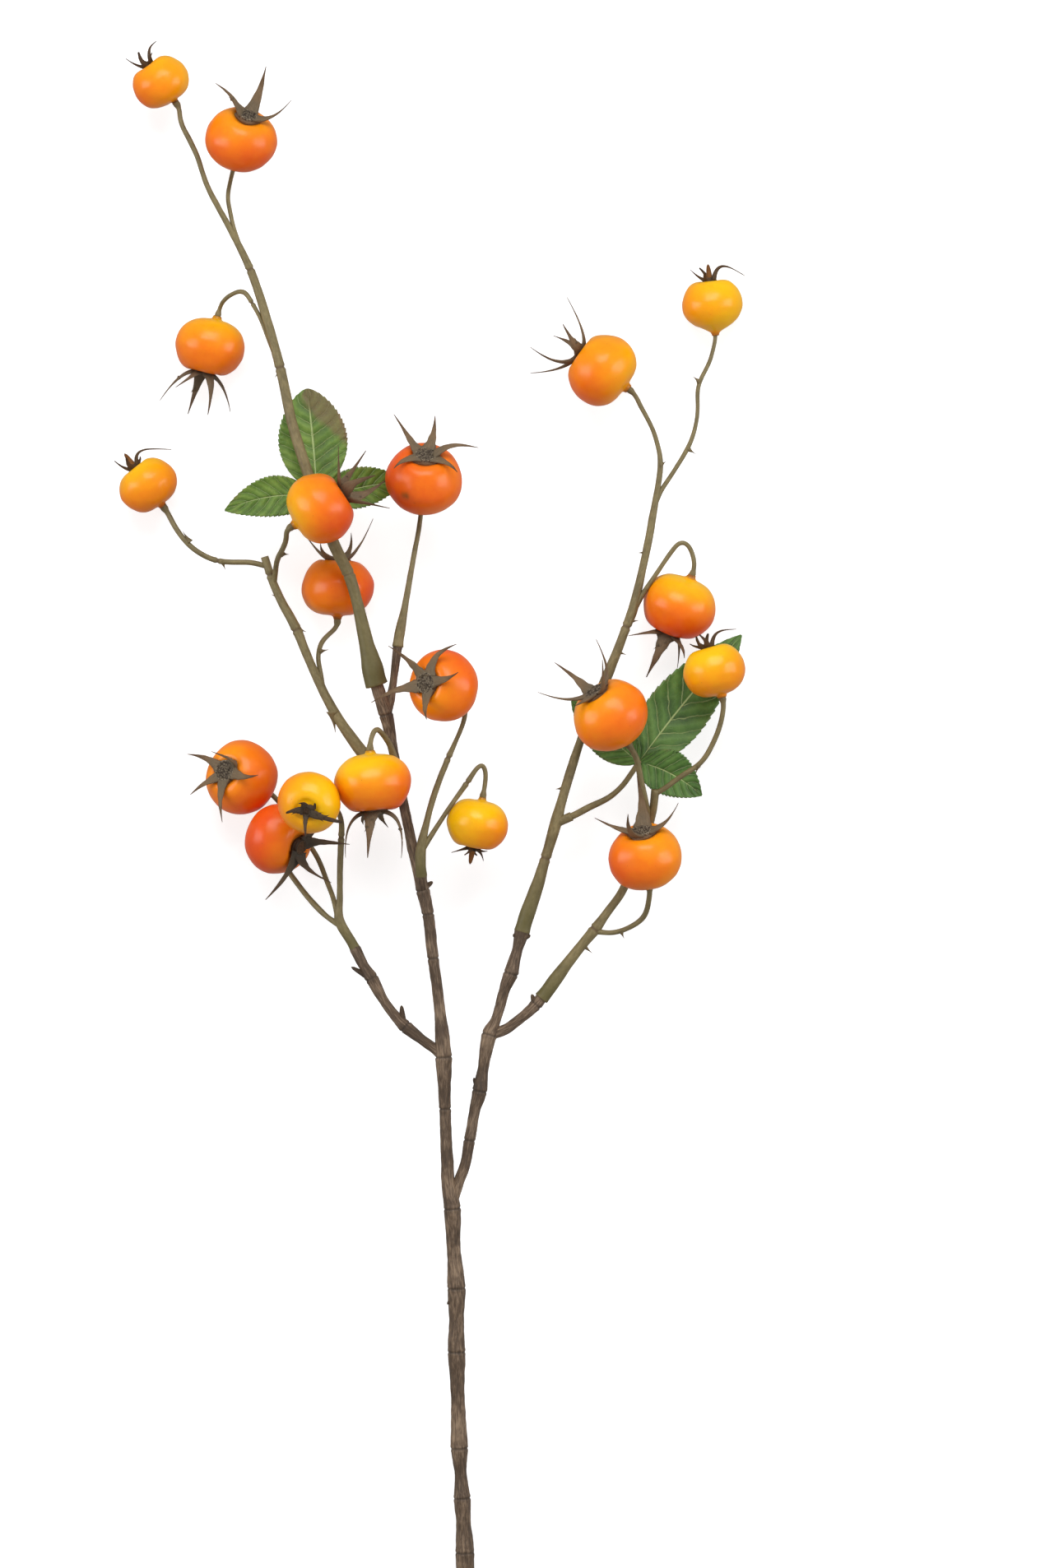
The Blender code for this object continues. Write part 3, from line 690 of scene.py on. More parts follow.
def swept(name: str, stations: Sequence[Station], around: int,
          relief: Relief | None = None) -> bpy.types.Object:
    """A sheet wrapped round a line of stations and closed.

    Args:
        name: The object's name.
        stations: The sections in order; a section of no width closes an end.
        around: Squares round the form.
        relief: Height above the section in millimetres, by angle and by distance along.

    Returns:
        The object, which carries grain, along and tone.
    """
    item = sheet(name, around, len(stations) - 1)
    reach = travelled_to([station.centre for station in stations])
    corners, grain, along, tone = [], [], [], []
    for station, travelled in zip(stations, reach):
        for column in range(around + 1):
            angle = math.tau * (column % around) / around
            across, over = math.cos(angle), math.sin(angle)
            push = 0.0
            if relief:
                push = relief(angle, travelled) * min(1, station.half_width / FULL_RELIEF)
            spot = (station.centre + station.side * (station.half_width + push) * across
                    + station.rise * ((station.half_depth + push) * over + station.fold * across ** 2))
            corners.extend(spot * MM)
            grain += (across, over, travelled / GRAIN_PITCH)
            along.append(travelled / max(reach[-1], 1e-6))
            tone.append(station.tone)
    item.data.vertices.foreach_set("co", corners)
    carry(item, "grain", grain)
    carry(item, "along", along)
    carry(item, "tone", tone)
    return welded(item)


def turned(name: str, profile: Profile, spacing: float, around: int,
           tone: Callable[[Vector], float] | None = None) -> bpy.types.Object:
    """A master of unit size turned about Z.

    Args:
        name: The object's name.
        profile: Its outline as (radius, height) pairs.
        spacing: About how far apart the rings of points lie on the outline.
        around: Squares round the form.
        tone: The tone at a spot of the outline, where it has one.

    Returns:
        The master, with its points in metres.
    """
    rows = smooth_route([(radius, height, 0, 0) for radius, height in profile], spacing)[0]
    stations = []
    for row in rows:
        radius = max(row.x, 0) / MM
        stations.append(Station(Vector((0, 0, row.y)) / MM, RIGHT, AHEAD, radius, radius,
                                0.0, tone(row) if tone else 0.0))
    return swept(name, stations, around)


def joined(name: str, pieces: Sequence[bpy.types.Object]) -> bpy.types.Object:
    """Several objects made one.

    Args:
        name: The name of the one.
        pieces: The objects, each with its materials.

    Returns:
        The one object.
    """
    alone(pieces[0])
    for piece in pieces[1:]:
        piece.select_set(True)
    bpy.ops.object.join()
    item = bpy.context.active_object
    item.name = item.data.name = name
    return item


def copied(master: bpy.types.Object, name: str, place: Matrix) -> bpy.types.Object:
    """A copy of a master with its own mesh, set in its place.

    Args:
        master: The object to copy.
        name: The copy's name.
        place: Where the mesh goes, and how it is turned and sized.

    Returns:
        The copy, in the scene.
    """
    item = bpy.data.objects.new(name, master.data.copy())
    bpy.context.scene.collection.objects.link(item)
    item.data.name = name
    item.data.transform(place)
    return item


def roughened(item: bpy.types.Object, height: Callable[[Vector], float]) -> bpy.types.Object:
    """Push each point of a mesh along its normal.

    Args:
        item: The object.
        height: How far, in millimetres, from the point's place in millimetres.

    Returns:
        The same object.
    """
    item.data.update()
    for point, normal in [(vertex, vertex.normal.copy()) for vertex in item.data.vertices]:
        point.co += normal * height(point.co / MM) * MM
    return item


def toned(item: bpy.types.Object, tone: float) -> bpy.types.Object:
    """Give a swept piece the same tone all over."""
    item.data.attributes["tone"].data.foreach_set("value", [tone] * len(item.data.vertices))
    return item


def finished(item: bpy.types.Object, *finishes: bpy.types.Material) -> bpy.types.Object:
    """Give a piece its materials.

    Args:
        item: The piece.
        finishes: The materials in slot order.

    Returns:
        The same piece.
    """
    item.data.materials.clear()
    for finish in finishes:
        item.data.materials.append(finish)
    return item


def smooth_route(points: Sequence[Sequence[float]], spacing: float) -> tuple[list[Vector], list[int]]:
    """Close-set points on a curve through a route's own points, radii included.

    The first and last stretches stay straight.

    Args:
        points: (x, y, z, radius) along the route.
        spacing: About how far apart the new points lie.

    Returns:
        The new points, and where among them each of the route's own points is.
    """
    rows = [Vector(point) for point in points]
    last = len(rows) - 2
    route, marks = [], []
    for index, (start, end) in enumerate(zip(rows, rows[1:])):
        marks.append(len(route))
        steps = max(2, round((end - start).xyz.length / spacing))
        before, after = rows[max(index - 1, 0)], rows[min(index + 2, last + 1)]
        for step in range(steps):
            t = step / steps
            if index in (0, last):
                route.append(start.lerp(end, t))
            else:
                # Catmull-Rom through start and end
                route.append(0.5 * (2 * start + (end - before) * t
                                    + (2 * before - 5 * start + 4 * end - after) * t ** 2
                                    + (3 * start - before - 3 * end + after) * t ** 3))
    marks.append(len(route))
    return [*route, rows[-1]], marks


def wood_relief(depth: float, turn: float) -> Relief:
    """Lengthwise ridges for a stem.

    Args:
        depth: About how deep they are, in millimetres.
        turn: A number that sets them apart from the next stem's.

    Returns:
        Their height, by angle and by distance along.
    """
    def height(angle: float, travelled: float) -> float:
        """Height of the ridges.

        Args:
            angle: Where round the stem, in radians.
            travelled: How far along it, in millimetres.

        Returns:
            The height in millimetres.
        """
        spot = Vector((math.cos(angle) * 2.4, math.sin(angle) * 2.4, travelled * 0.13 + turn * 9.7))
        broad = noise.fractal(spot, 0.8, 2.1, 3)
        fine = noise.noise(Vector((spot.x * 2.6, spot.y * 2.6, spot.z * 2.0)))
        return depth * (broad * 0.8 + fine * 0.6)
    return height


@dataclass(frozen=True)
class Ring:
    """A joint at one of a route's points: two flared ends with a groove between them."""

    point: int
    height: float = 0.4
    breadth: float = 0.6
    groove: float = 0.25

    def shape(self, distance: float) -> tuple[float, float]:
        """What the joint adds to a stem.

        Args:
            distance: How far along the stem from the joint's middle, in millimetres.

        Returns:
            What it adds to the radius, and to the tone.
        """
        off = distance / self.breadth
        flare = self.height * math.exp(-(off / 2.0) ** 2)
        cut = (self.height + self.groove) * math.exp(-(off / 0.7) ** 2)
        return flare - cut, 0.8 * math.exp(-(off / 0.8) ** 2)


@dataclass(frozen=True)
class Shoot:
    """One round stem along (x, y, z, radius) points."""

    route: Route
    rings: tuple[Ring, ...] = ()
    around: int = 14
    spacing: float = 0.9
    ridges: float = 0.08
    sleeve: float = 0.0
    rounded: bool = False
    relaxing: int = 10

    def stations(self) -> list[Station]:
        """The sections along the route.

        Returns:
            The sections, with rings, sleeve and both ends.
        """
        rows, marks = smooth_route(self.route, self.spacing)
        centres = [row.xyz for row in rows]
        # the bends are eased, and the three points at each end stay
        for _ in range(self.relaxing):
            centres[3:-3] = [(before + 2 * centre + after) / 4 for before, centre, after
                             in zip(centres[2:-4], centres[3:-3], centres[4:-2])]
        reach = travelled_to(centres)
        facing = (centres[1] - centres[0]).normalized()
        side = facing.orthogonal().normalized()
        made = []
        for index, (centre, row) in enumerate(zip(centres, rows)):
            ahead = centres[min(index + 1, len(rows) - 1)] - centres[max(index - 1, 0)]
            ahead.normalize()
            side = (side - ahead * side.dot(ahead)).normalized()
            radius, tone = row.w, 0.0
            for ring in self.rings:
                more, darker = ring.shape(reach[index] - reach[marks[ring.point]])
                radius += more
                tone += darker
            if self.sleeve:
                tone -= 1.1 * max(0.0, 1 - reach[index] / self.sleeve)
            made.append(Station(centre, side, ahead.cross(side), radius, radius, 0.0, tone))
        end = self.rounded_end(made) if self.rounded else [made[-1].narrowed(0)]
        first = made[0]
        start = [replace(first.narrowed(0), tone=0.3), first.narrowed(0.88)]
        made[0] = first.moved((made[1].centre - first.centre) * 0.2)
        return [*start, *made, *end]

    @staticmethod
    def rounded_end(made: Sequence[Station]) -> list[Station]:
        """The sections of a dome that closes the stem's end.

        Args:
            made: The stem's sections.

        Returns:
            The dome's sections.
        """
        last = made[-1]
        tip = (last.centre - made[-2].centre).normalized() * last.half_width
        end = [last.moved(tip * math.sin(turn)).narrowed(math.cos(turn)) for turn in (0.5, 0.95, 1.3)]
        return [*end, last.moved(tip).narrowed(0)]

    def build(self, name: str, turn: float) -> bpy.types.Object:
        """The stem's mesh; turn sets its ridges apart from the next stem's."""
        return swept(name, self.stations(), self.around, wood_relief(self.ridges, turn))


@dataclass(frozen=True)
class Spine:
    """A thorn or bud: root, tip and root radius."""

    root: Point
    tip: Point
    radius: float

    @staticmethod
    def master(name: str, hook: float, blunt: float) -> bpy.types.Object:
        """A thorn one unit long and one unit in radius, along +Z, to copy.

        Args:
            name: The object's name.
            hook: How far its tip leans over.
            blunt: Its radius near the tip.

        Returns:
            The master, which isn't shown.
        """
        rows, steps = [], 10
        for step in range(steps + 1):
            t = step / steps
            radius = 1.45 * (1 - t) ** 2.4 * (1 - blunt) + blunt * (1 - t ** 4) ** 0.5
            centre = Vector((hook * t ** 2, 0, t)) / MM
            rows.append(Station(centre, RIGHT, AHEAD, radius / MM, radius / MM, 0.0, 0.15 + 0.85 * t))
        return put_away(swept(name, [rows[0].narrowed(0), *rows], 10))

    def build(self, name: str, master: bpy.types.Object) -> bpy.types.Object:
        """A copy of the master from root to tip.

        Args:
            name: The copy's name.
            master: A thorn or bud of unit size.

        Returns:
            The copy.
        """
        reach = Vector(self.tip) - Vector(self.root)
        turn = reach.to_track_quat("Z", "Y").to_matrix().to_4x4()
        size = Matrix.Diagonal((self.radius * MM, self.radius * MM, reach.length * MM, 1))
        return copied(master, name, Matrix.Translation(Vector(self.root) * MM) @ turn @ size)


@dataclass
class Shop:
    """What every sub-assembly works with: masters, materials and where the model stands.

    shift is from the routes' frame to the model's, in millimetres. low and high are the
    corners of the model's box, in metres.
    """

    shift: Vector
    low: Vector
    high: Vector
    thorn: bpy.types.Object = field(init=False)
    bud: bpy.types.Object = field(init=False)
    bark: bpy.types.Material = field(init=False)
    twig: bpy.types.Material = field(init=False)

    def __post_init__(self) -> None:
        """Make the masters and the materials that several classes share."""
        self.thorn = Spine.master("thorn_master", 0.25, 0.10)
        self.bud = Spine.master("bud_master", 0.05, 0.7)
        self.bark = BarkFinish().material()
        self.twig = TwigFinish().material()

    def placed(self, item: bpy.types.Object, node: str) -> bpy.types.Object:
        """Set a finished piece in the place of its plain node, held inside the model's box.

        Args:
            item: The piece, in the routes' own frame.
            node: The plain node that it stands for.

        Returns:
            The piece.
        """
        item.data.transform(Matrix.Translation(self.shift * MM))
        for vertex in item.data.vertices:
            vertex.co = [min(max(spot, low), high)
                         for spot, low, high in zip(vertex.co, self.low, self.high)]
        item.data.update()
        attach(item, "root")
        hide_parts(node)
        LOG.info("%s: %d faces", item.name, len(item.data.polygons))
        return item


# ---- hips and calyxes ------------------------------------------------------------------------
@dataclass(frozen=True)
class BlushAndShade:
    """How ripe a hip is, from 0 for yellow to 1 for red, and which way it is painted redder: its own blush,
    and partly painted shade on the side away from the top lamp.
    """

    level: float
    slope: float = 0.1
    toward: float = 270.0


@dataclass(frozen=True)
class Sepal:
    """One sepal: its tip from the middle of the disc, its width, barbs and curl, and its arch.

    An arch above 0 lifts its middle off the fruit, and one below 0 spreads it over the fruit.
    """

    tip: Point
    width: float = 1.0
    barbs: tuple[float, ...] = ()
    curl: float = 0.6
    arch: float = 0.0


@dataclass(frozen=True)
class Hip:
    """One fruit: where it is, where its calyx points, how it ripens and where it is painted shaded, and its
    sepals.

    azimuth runs from +X toward +Y, and tilt is above the horizontal, both in degrees.
    squatness is half the length as a share of the width, for short and for long sepals.
    crumbly, darkness and stub are for the calyx: whether its disc is crumbly, how dark its
    sepals are at the foot, and how far its withered styles stand out. neck is how far the stem
    end is drawn out, as a share of half the length. bruise is the x, y and radius of a brown
    spot on the upper side.
    """

    centre: Point
    azimuth: float
    tilt: float
    width: float
    blush_and_shade: BlushAndShade
    sepals: tuple[Sepal, ...]
    long_sepals: bool = True
    disc_share: float = 0.26
    crumbly: bool = True
    darkness: float = 0.0
    stub: float = 0.0
    squatness: tuple[float, float] = (0.392, 0.395)
    neck_reach: float = 1.13
    neck: float = 0.0
    neck_breadth: float = 0.22
    bruise: Point = (0, 0, 0)
    profile: Profile = (
        (0, 0.84), (0.16, 0.84), (0.30, 0.875), (0.41, 0.945), (0.53, 0.94), (0.69, 0.83),
        (0.86, 0.57), (0.97, 0.26), (1.0, 0.0), (0.965, -0.31), (0.84, -0.62), (0.64, -0.85),
        (0.43, -0.955), (0.26, -0.985), (0.15, -1.02), (0.11, -1.13), (0, -1.13))

    @property
    def axis(self) -> Vector:
        """The way from the stem end to the calyx.

        Returns:
            A unit vector.
        """
        flat = math.cos(math.radians(self.tilt))
        return Vector((flat * math.cos(math.radians(self.azimuth)),
                       flat * math.sin(math.radians(self.azimuth)), math.sin(math.radians(self.tilt))))

    @property
    def half_length(self) -> float:
        """Half the length along the axis, from the middle to the rim of the dimple."""
        return self.width * self.squatness[self.long_sepals]

    def on_axis(self, height: float) -> Vector:
        """The point at this height along the axis from the centre."""
        return Vector(self.centre) + self.axis * height

    def place(self, height: float = 0.0) -> Matrix:
        """Matrix that lays a shape turned about Z along the axis, at this height on it."""
        turn = self.axis.to_track_quat("Z", "Y").to_matrix().to_4x4()
        return Matrix.Translation(self.on_axis(height) * MM) @ turn

    @classmethod
    def master(cls) -> bpy.types.Object:
        """A hip of unit radius and unit half length, turned about Z, to copy."""
        return put_away(turned("hip_master", cls.profile, 0.045, 60))

    def locally(self, vertex: bpy.types.MeshVertex) -> tuple[Vector, float, float]:
        """Where a point of the fruit is, in radii of the fruit.

        Args:
            vertex: The point.

        Returns:
            Its place from the centre, its height along the axis and its distance from it.
        """
        local = (vertex.co / MM - Vector(self.centre)) / (self.width / 2)
        height = local.dot(self.axis)
        return local, height, (local - self.axis * height).length

    def draw_out_ends(self, item: bpy.types.Object) -> None:
        """Draw the neck out of the stem end, and swell a short-sepalled hip's other end.

        Args:
            item: The fruit, in its place.
        """
        half = self.half_length * MM
        for vertex in item.data.vertices:
            _, height, out = self.locally(vertex)
            if height < 0:
                vertex.co -= self.axis * self.neck * half * math.exp(-(out / self.neck_breadth) ** 2)
            elif not self.long_sepals:
                vertex.co += self.axis * 0.09 * half * math.exp(-(out / 0.30) ** 2)

    def ripened(self, vertex: bpy.types.MeshVertex, red: Vector) -> tuple[float, float]:
        """The redness, partly painted shade, and the brown at a point of the skin.

        Args:
            vertex: The point.
            red: The way in which the hip reddens.

        Returns:
            The redness from 0 to 1, partly painted shade, and how brown the point is: at the neck, in a
            bruise, and round the dimple as painted shade.
        """
        local, height, out = self.locally(vertex)
        at_stem, at_calyx = height < 0, height > 0
        # brown at the neck, and brown round the dimple as painted shade in it, and redder toward a drawn-out
        # neck
        neck = held((0.17 - out) / 0.06) if at_stem else 0.0
        rim = 0.55 * held((0.46 - out) / 0.16) if at_calyx and self.long_sepals else 0.0
        warmth = 0.4 * max(0.0, 1 - out / 0.3) if at_stem and self.neck else 0.0
        # the hip's own ripeness, with the slope painted redder mostly on the side away from the top lamp and
        # a little toward the floor, which is partly painted shade; redder round its girth too
        blush_and_shade = self.blush_and_shade.level + self.blush_and_shade.slope * local.dot(red) + 0.16 * (out ** 4 - 0.3) + warmth
        sore = 0.0
        if self.bruise[2]:
            off = (vertex.co / MM - Vector(self.centre)).xy - Vector(self.bruise[:2])
            sore = 1.1 * math.exp(-(off.length / self.bruise[2]) ** 2) * (local.z > 0)
        return blush_and_shade, max(neck, rim, sore)

    def build(self, name: str, master: bpy.types.Object, skin: bpy.types.Material,
              turn: float) -> bpy.types.Object:
        """This hip: the master at its size, a little uneven, with its blush.

        Args:
            name: The object's name.
            master: The unit hip.
            skin: Its finish.
            turn: A number that sets its lumps apart from the next hip's.

        Returns:
            The fruit.
        """
        radius = self.width / 2
        size = Matrix.Diagonal((radius * MM, radius * MM, self.half_length * MM, 1))
        item = copied(master, name, self.place() @ size)

        def lumps(spot: Vector) -> float:
            """Height of the skin's lumps.

            Args:
                spot: Where on the skin, in millimetres.

            Returns:
                The height in millimetres.
            """
            local = (spot - Vector(self.centre)) / radius
            seed = Vector((turn * 3.7, turn * 1.9, turn * 5.3))
            return 0.55 * noise.noise(local * 1.15 + seed) + 0.12 * noise.noise(local * 3.5 + seed)

        roughened(item, lumps)
        self.draw_out_ends(item)
        # the way the hip is painted redder, tipped a little toward the floor: partly its own blush, partly
        # painted shade away from the top lamp
        side = math.radians(self.blush_and_shade.toward)
        red = Vector((math.cos(side), math.sin(side), -0.25))
        blush_and_shade, ends = zip(*(self.ripened(vertex, red) for vertex in item.data.vertices))
        carry(item, "blush_and_shade", blush_and_shade)
        carry(item, "ends", ends)
        return finished(item, skin)


@dataclass(frozen=True)
class Calyx:
    """The dried disc in a hip's dimple, with its sepals round it.

    steps is how many lengths a sepal's midline has. web is how far the ring is drawn out at a
    sepal's foot, and sunk is how far the disc stands below the dimple's rim. disc and ring are
    outlines as (share of the disc's radius, height), the heights in mm.
    """

    hip: Hip
    sepal_width: float = 4.9
    tepal_width: float = 3.2
    thickness: float = 1.9
    steps: int = 26
    web: float = 1.3
    sunk: float = 0.5
    barb_radius: float = 0.6
    stub_radius: float = 1.3
    disc: Profile = (
        (0, -1.3), (0.6, -1.3), (0.9, -0.6), (1.0, 0.3), (1.04, 0.95), (0.98, 1.35), (0.86, 1.3),
        (0.74, 1.0), (0.5, 1.15), (0.25, 1.35), (0, 1.4))
    ring: Profile = (
        (0, -2.4), (0.8, -2.4), (0.98, -2.0), (1.1, -1.4), (1.12, -0.8), (1.06, -0.3), (0.95, 0.0),
        (0.7, 0.0), (0, 0.0))

    @classmethod
    def master(cls) -> bpy.types.Object:
        """A disc of unit radius about Z with a crumbly top and a raised rim, to copy.

        Returns:
            The master.
        """
        def rim(spot: Vector) -> float:
            """How near a spot of the outline is to the raised rim."""
            return math.exp(-((spot.x - 0.98) / 0.1) ** 2) * (1.0 if spot.y > 0 else 0.0)

        item = turned("disc_master", cls.disc, 0.07, 48, rim)
        for vertex in item.data.vertices:
            out = vertex.co.xy.length
            if vertex.co.z > 0.7:
                spot = Vector((vertex.co.x * 3.6, vertex.co.y * 3.6, vertex.co.z))
                near = noise.voronoi(spot * 1.25)[0]
                vertex.co.z += (0.45 - 0.75 * near[0]) * 0.75 * max(0.0, 1 - out ** 6)
            vertex.co.x *= 1 + 0.05 * noise.noise(vertex.co * 3.0)
        return put_away(item)

    def midline(self, sepal: Sepal) -> tuple[list[Vector], Vector]:
        """The line that a sepal follows from the disc's edge to its tip.

        Args:
            sepal: The sepal.

        Returns:
            The line's spots, and the way across it.
        """
        hip = self.hip
        middle = hip.on_axis(hip.half_length + 0.3)
        reach = Vector(sepal.tip)
        outward = (reach - hip.axis * reach.dot(hip.axis)).normalized()
        sideways = hip.axis.cross(outward)
        start = middle + outward * hip.width * hip.disc_share * 0.41 - hip.axis * 0.5
        spread = (0.26 if hip.long_sepals else 0.14) - 0.04 * min(sepal.arch, 0.0)
        bend = middle + outward * hip.width * spread + hip.axis * 0.5
        spots = []
        for index in range(self.steps + 1):
            t = index / self.steps
            # a swing to one side, and a hook to the other near the tip
            swing = -sepal.curl * math.sin(math.pi * t) * 0.9
            hook = sepal.curl * 0.14 * reach.length * max(0.0, (t - 0.55) / 0.45) ** 2
            lift = abs(hook) * 0.3 + max(sepal.arch, 0.0) * math.sin(math.pi * t)
            spots.append(arc(start, bend, middle + reach, t) + sideways * (swing + hook) + hip.axis * lift)
        return spots, sideways

    def sections(self, sepal: Sepal, turn: float) -> list[Station]:
        """The sections of a sepal: a channelled blade that thins to its tip.

        Args:
            sepal: The sepal.
            turn: A number that sets its waviness apart from the next sepal's.

        Returns:
            The sections, with both ends closed.
        """
        hip = self.hip
        spots, sideways = self.midline(sepal)
        width = (self.sepal_width if hip.long_sepals else self.tepal_width) * sepal.width
        thin = 0.04 if hip.long_sepals else 0.24
        made = []
        for index, spot in enumerate(spots):
            t = index / self.steps
            ahead = (spots[min(index + 1, self.steps)] - spots[max(index - 1, 0)]).normalized()
            side = (sideways - ahead * sideways.dot(ahead)).normalized()
            rise = ahead.cross(side)
            if rise.dot(hip.axis) < 0:
                rise = -rise
            wave = 1 + 0.2 * noise.noise(Vector((t * 7, turn, 3)))
            half = width / 2 * (thin + (1 - thin) * (1 - t) ** 1.12) * wave
            depth = self.thickness / 2 * (0.12 + 0.88 * (1 - t) ** 1.4)
            made.append(Station(spot, side, rise, half, min(depth, half * 0.95), half * 0.22 * (1 - t),
                                hip.darkness * (1 - 0.7 * t)))
        foot, last = replace(made[0].narrowed(0), fold=0), made[-1]
        tip = (spots[-1] - spots[-2]).normalized() * last.half_width * 0.8
        blunted = last.moved(tip * 0.6).narrowed(0.75)
        return [foot, *made, blunted, replace(blunted.moved(tip * 0.4).narrowed(0), fold=0)]

    def sepal(self, name: str, sepal: Sepal, turn: float, shop: Shop,
              finish: bpy.types.Material) -> list[bpy.types.Object]:
        """One sepal and its barbs.

        Args:
            name: The sepal's name.
            sepal: Its sizes.
            turn: A number that sets it apart from the next sepal.
            shop: The masters.
            finish: Its finish.

        Returns:
            The blade and each of its barbs.
        """
        made = self.sections(sepal, turn)
        pieces = [finished(swept(name, made, 14, wood_relief(0.10, turn)), finish)]
        for index, where in enumerate(sepal.barbs):
            number = 1 + round(abs(where) * self.steps)
            station = made[number]
            ahead = (made[number + 2].centre - station.centre).normalized()
            way = station.side * math.copysign(1, where)
            root = station.centre + way * station.half_width * 0.4
            tip = root + (way * 1.3 + ahead * 2.1) * (0.5 + 0.35 * sepal.width)
            barb = Spine(tuple(root), tuple(tip), self.barb_radius)
            copy = barb.build(f"{name}_barb_{index}", shop.thorn)
            pieces.append(finished(toned(copy, self.hip.darkness * 0.5), finish))
        return pieces

    def collar(self, name: str) -> bpy.types.Object:
        """The ring round the disc, drawn out into a web at the foot of every sepal.

        Args:
            name: The object's name.

        Returns:
            The ring.
        """
        hip = self.hip
        side = hip.axis.orthogonal().normalized()
        rise = hip.axis.cross(side)
        tips = [Vector(sepal.tip) for sepal in hip.sepals]
        feet = [math.atan2(tip.dot(rise), tip.dot(side)) for tip in tips]
        radius = hip.width / 2 * hip.disc_share
        reach = self.web if hip.long_sepals else self.web * 0.6

        def webs(angle: float, _travelled: float) -> float:
            """How far the ring is drawn out at this angle."""
            offs = [math.remainder(angle - foot, math.tau) for foot in feet]
            return reach * max(math.exp(-(off / 0.38) ** 2) for off in offs)

        rows = [Station(hip.on_axis(hip.half_length + height), side, rise, radius * share,
                        radius * share, 0.0, hip.darkness) for share, height in self.ring]
        return swept(name, rows, 60, webs)

    def build(self, name: str, master: bpy.types.Object, shop: Shop, disc_finish: bpy.types.Material,
              sepal_finish: bpy.types.Material, stub_finish: bpy.types.Material,
              turn: float) -> bpy.types.Object:
        """The disc and the sepals as one piece.

        Args:
            name: The piece's name.
            master: The unit disc.
            shop: The masters for barbs and styles.
            disc_finish: The finish of a crumbly disc.
            sepal_finish: The finish of the sepals and of any other disc.
            stub_finish: The finish of the withered styles.
            turn: A number that sets it apart from the next calyx.

        Returns:
            The calyx.
        """
        radius = self.hip.width / 2 * self.hip.disc_share
        place = self.hip.place(self.hip.half_length - self.sunk) @ Matrix.Rotation(turn, 4, "Z")
        disc = copied(master, f"{name}_disc", place @ Matrix.Diagonal((radius * MM, radius * MM, MM, 1)))
        pieces = [finished(disc, disc_finish if self.hip.crumbly else sepal_finish),
                  finished(self.collar(f"{name}_collar"), sepal_finish)]
        if self.hip.stub:
            root, tip = (tuple(self.hip.on_axis(self.hip.half_length + height))
                         for height in (-1.0, self.hip.stub))
            stub = Spine(root, tip, self.stub_radius).build(f"{name}_stub", shop.bud)
            pieces.append(finished(toned(stub, 0.0), stub_finish))
        for index, sepal in enumerate(self.hip.sepals):
            pieces += self.sepal(f"{name}_{index}", sepal, turn + index * 1.7, shop, sepal_finish)
        return joined(name, pieces)


# ---- stems -----------------------------------------------------------------------------------
def led_to_neck(route: Route, hip: Hip) -> Route:
    """A pedicel's points led on to the hip's neck, with a swollen end.

    Args:
        route: The pedicel's own points.
        hip: The hip.

    Returns:
        The points and the last stretch.
    """
    neck = hip.half_length * hip.neck_reach
    slim = route[-1][3]
    swollen = slim + 0.4
    gaps = ((2.5, slim), (0.9, swollen), (-0.5, swollen))   # the last one is inside the neck
    return (*route, *((*hip.on_axis(-neck - gap), radius) for gap, radius in gaps))


def butted(bough: Route, route: Route) -> Route:
    """A twig's points, started by the end of its bough and in line with it.

    Args:
        bough: The bough's points.
        route: The twig's own points.

    Returns:
        The first stretch and the points.
    """
    before, end = (Vector(point[:3]) for point in bough[-2:])
    along = (end - before).normalized()
    radius = route[0][3]
    return ((*(end - along * 1.0), radius), (*(end + along * 2.5), radius), *route)


def rings(*points: int, height: float = 0.18, breadth: float = 0.55) -> tuple[Ring, ...]:
    """Joints of one size at these points of a route."""
    return tuple(Ring(point, height, breadth, 0.12 + height * 0.6) for point in points)


@dataclass(frozen=True)
class WoodyStem:
    """The cut stem with its boughs, forks and buds."""

    trunk: Shoot
    boughs: tuple[Shoot, ...]
    buds: tuple[Spine, ...]

    def build(self, shop: Shop) -> bpy.types.Object:
        """All of it as one piece in bark.

        Args:
            shop: The masters and materials.

        Returns:
            The piece in its place.
        """
        pieces = [self.trunk.build("woody_trunk", 1.0)]
        for index, bough in enumerate(self.boughs):
            pieces.append(bough.build(f"woody_bough_{index}", 2.0 + index))
        for index, bud in enumerate(self.buds):
            pieces.append(toned(bud.build(f"woody_bud_{index}", shop.bud), 0.0))
        item = joined("woody_stem_bark", pieces)
        return shop.placed(finished(item, shop.bark), "woody_stem")


@dataclass(frozen=True)
class Pedicel:
    """A side stem with the hip at its end, if it has one."""

    route: Route
    hip: str = ""
    rings: tuple[Ring, ...] = ()


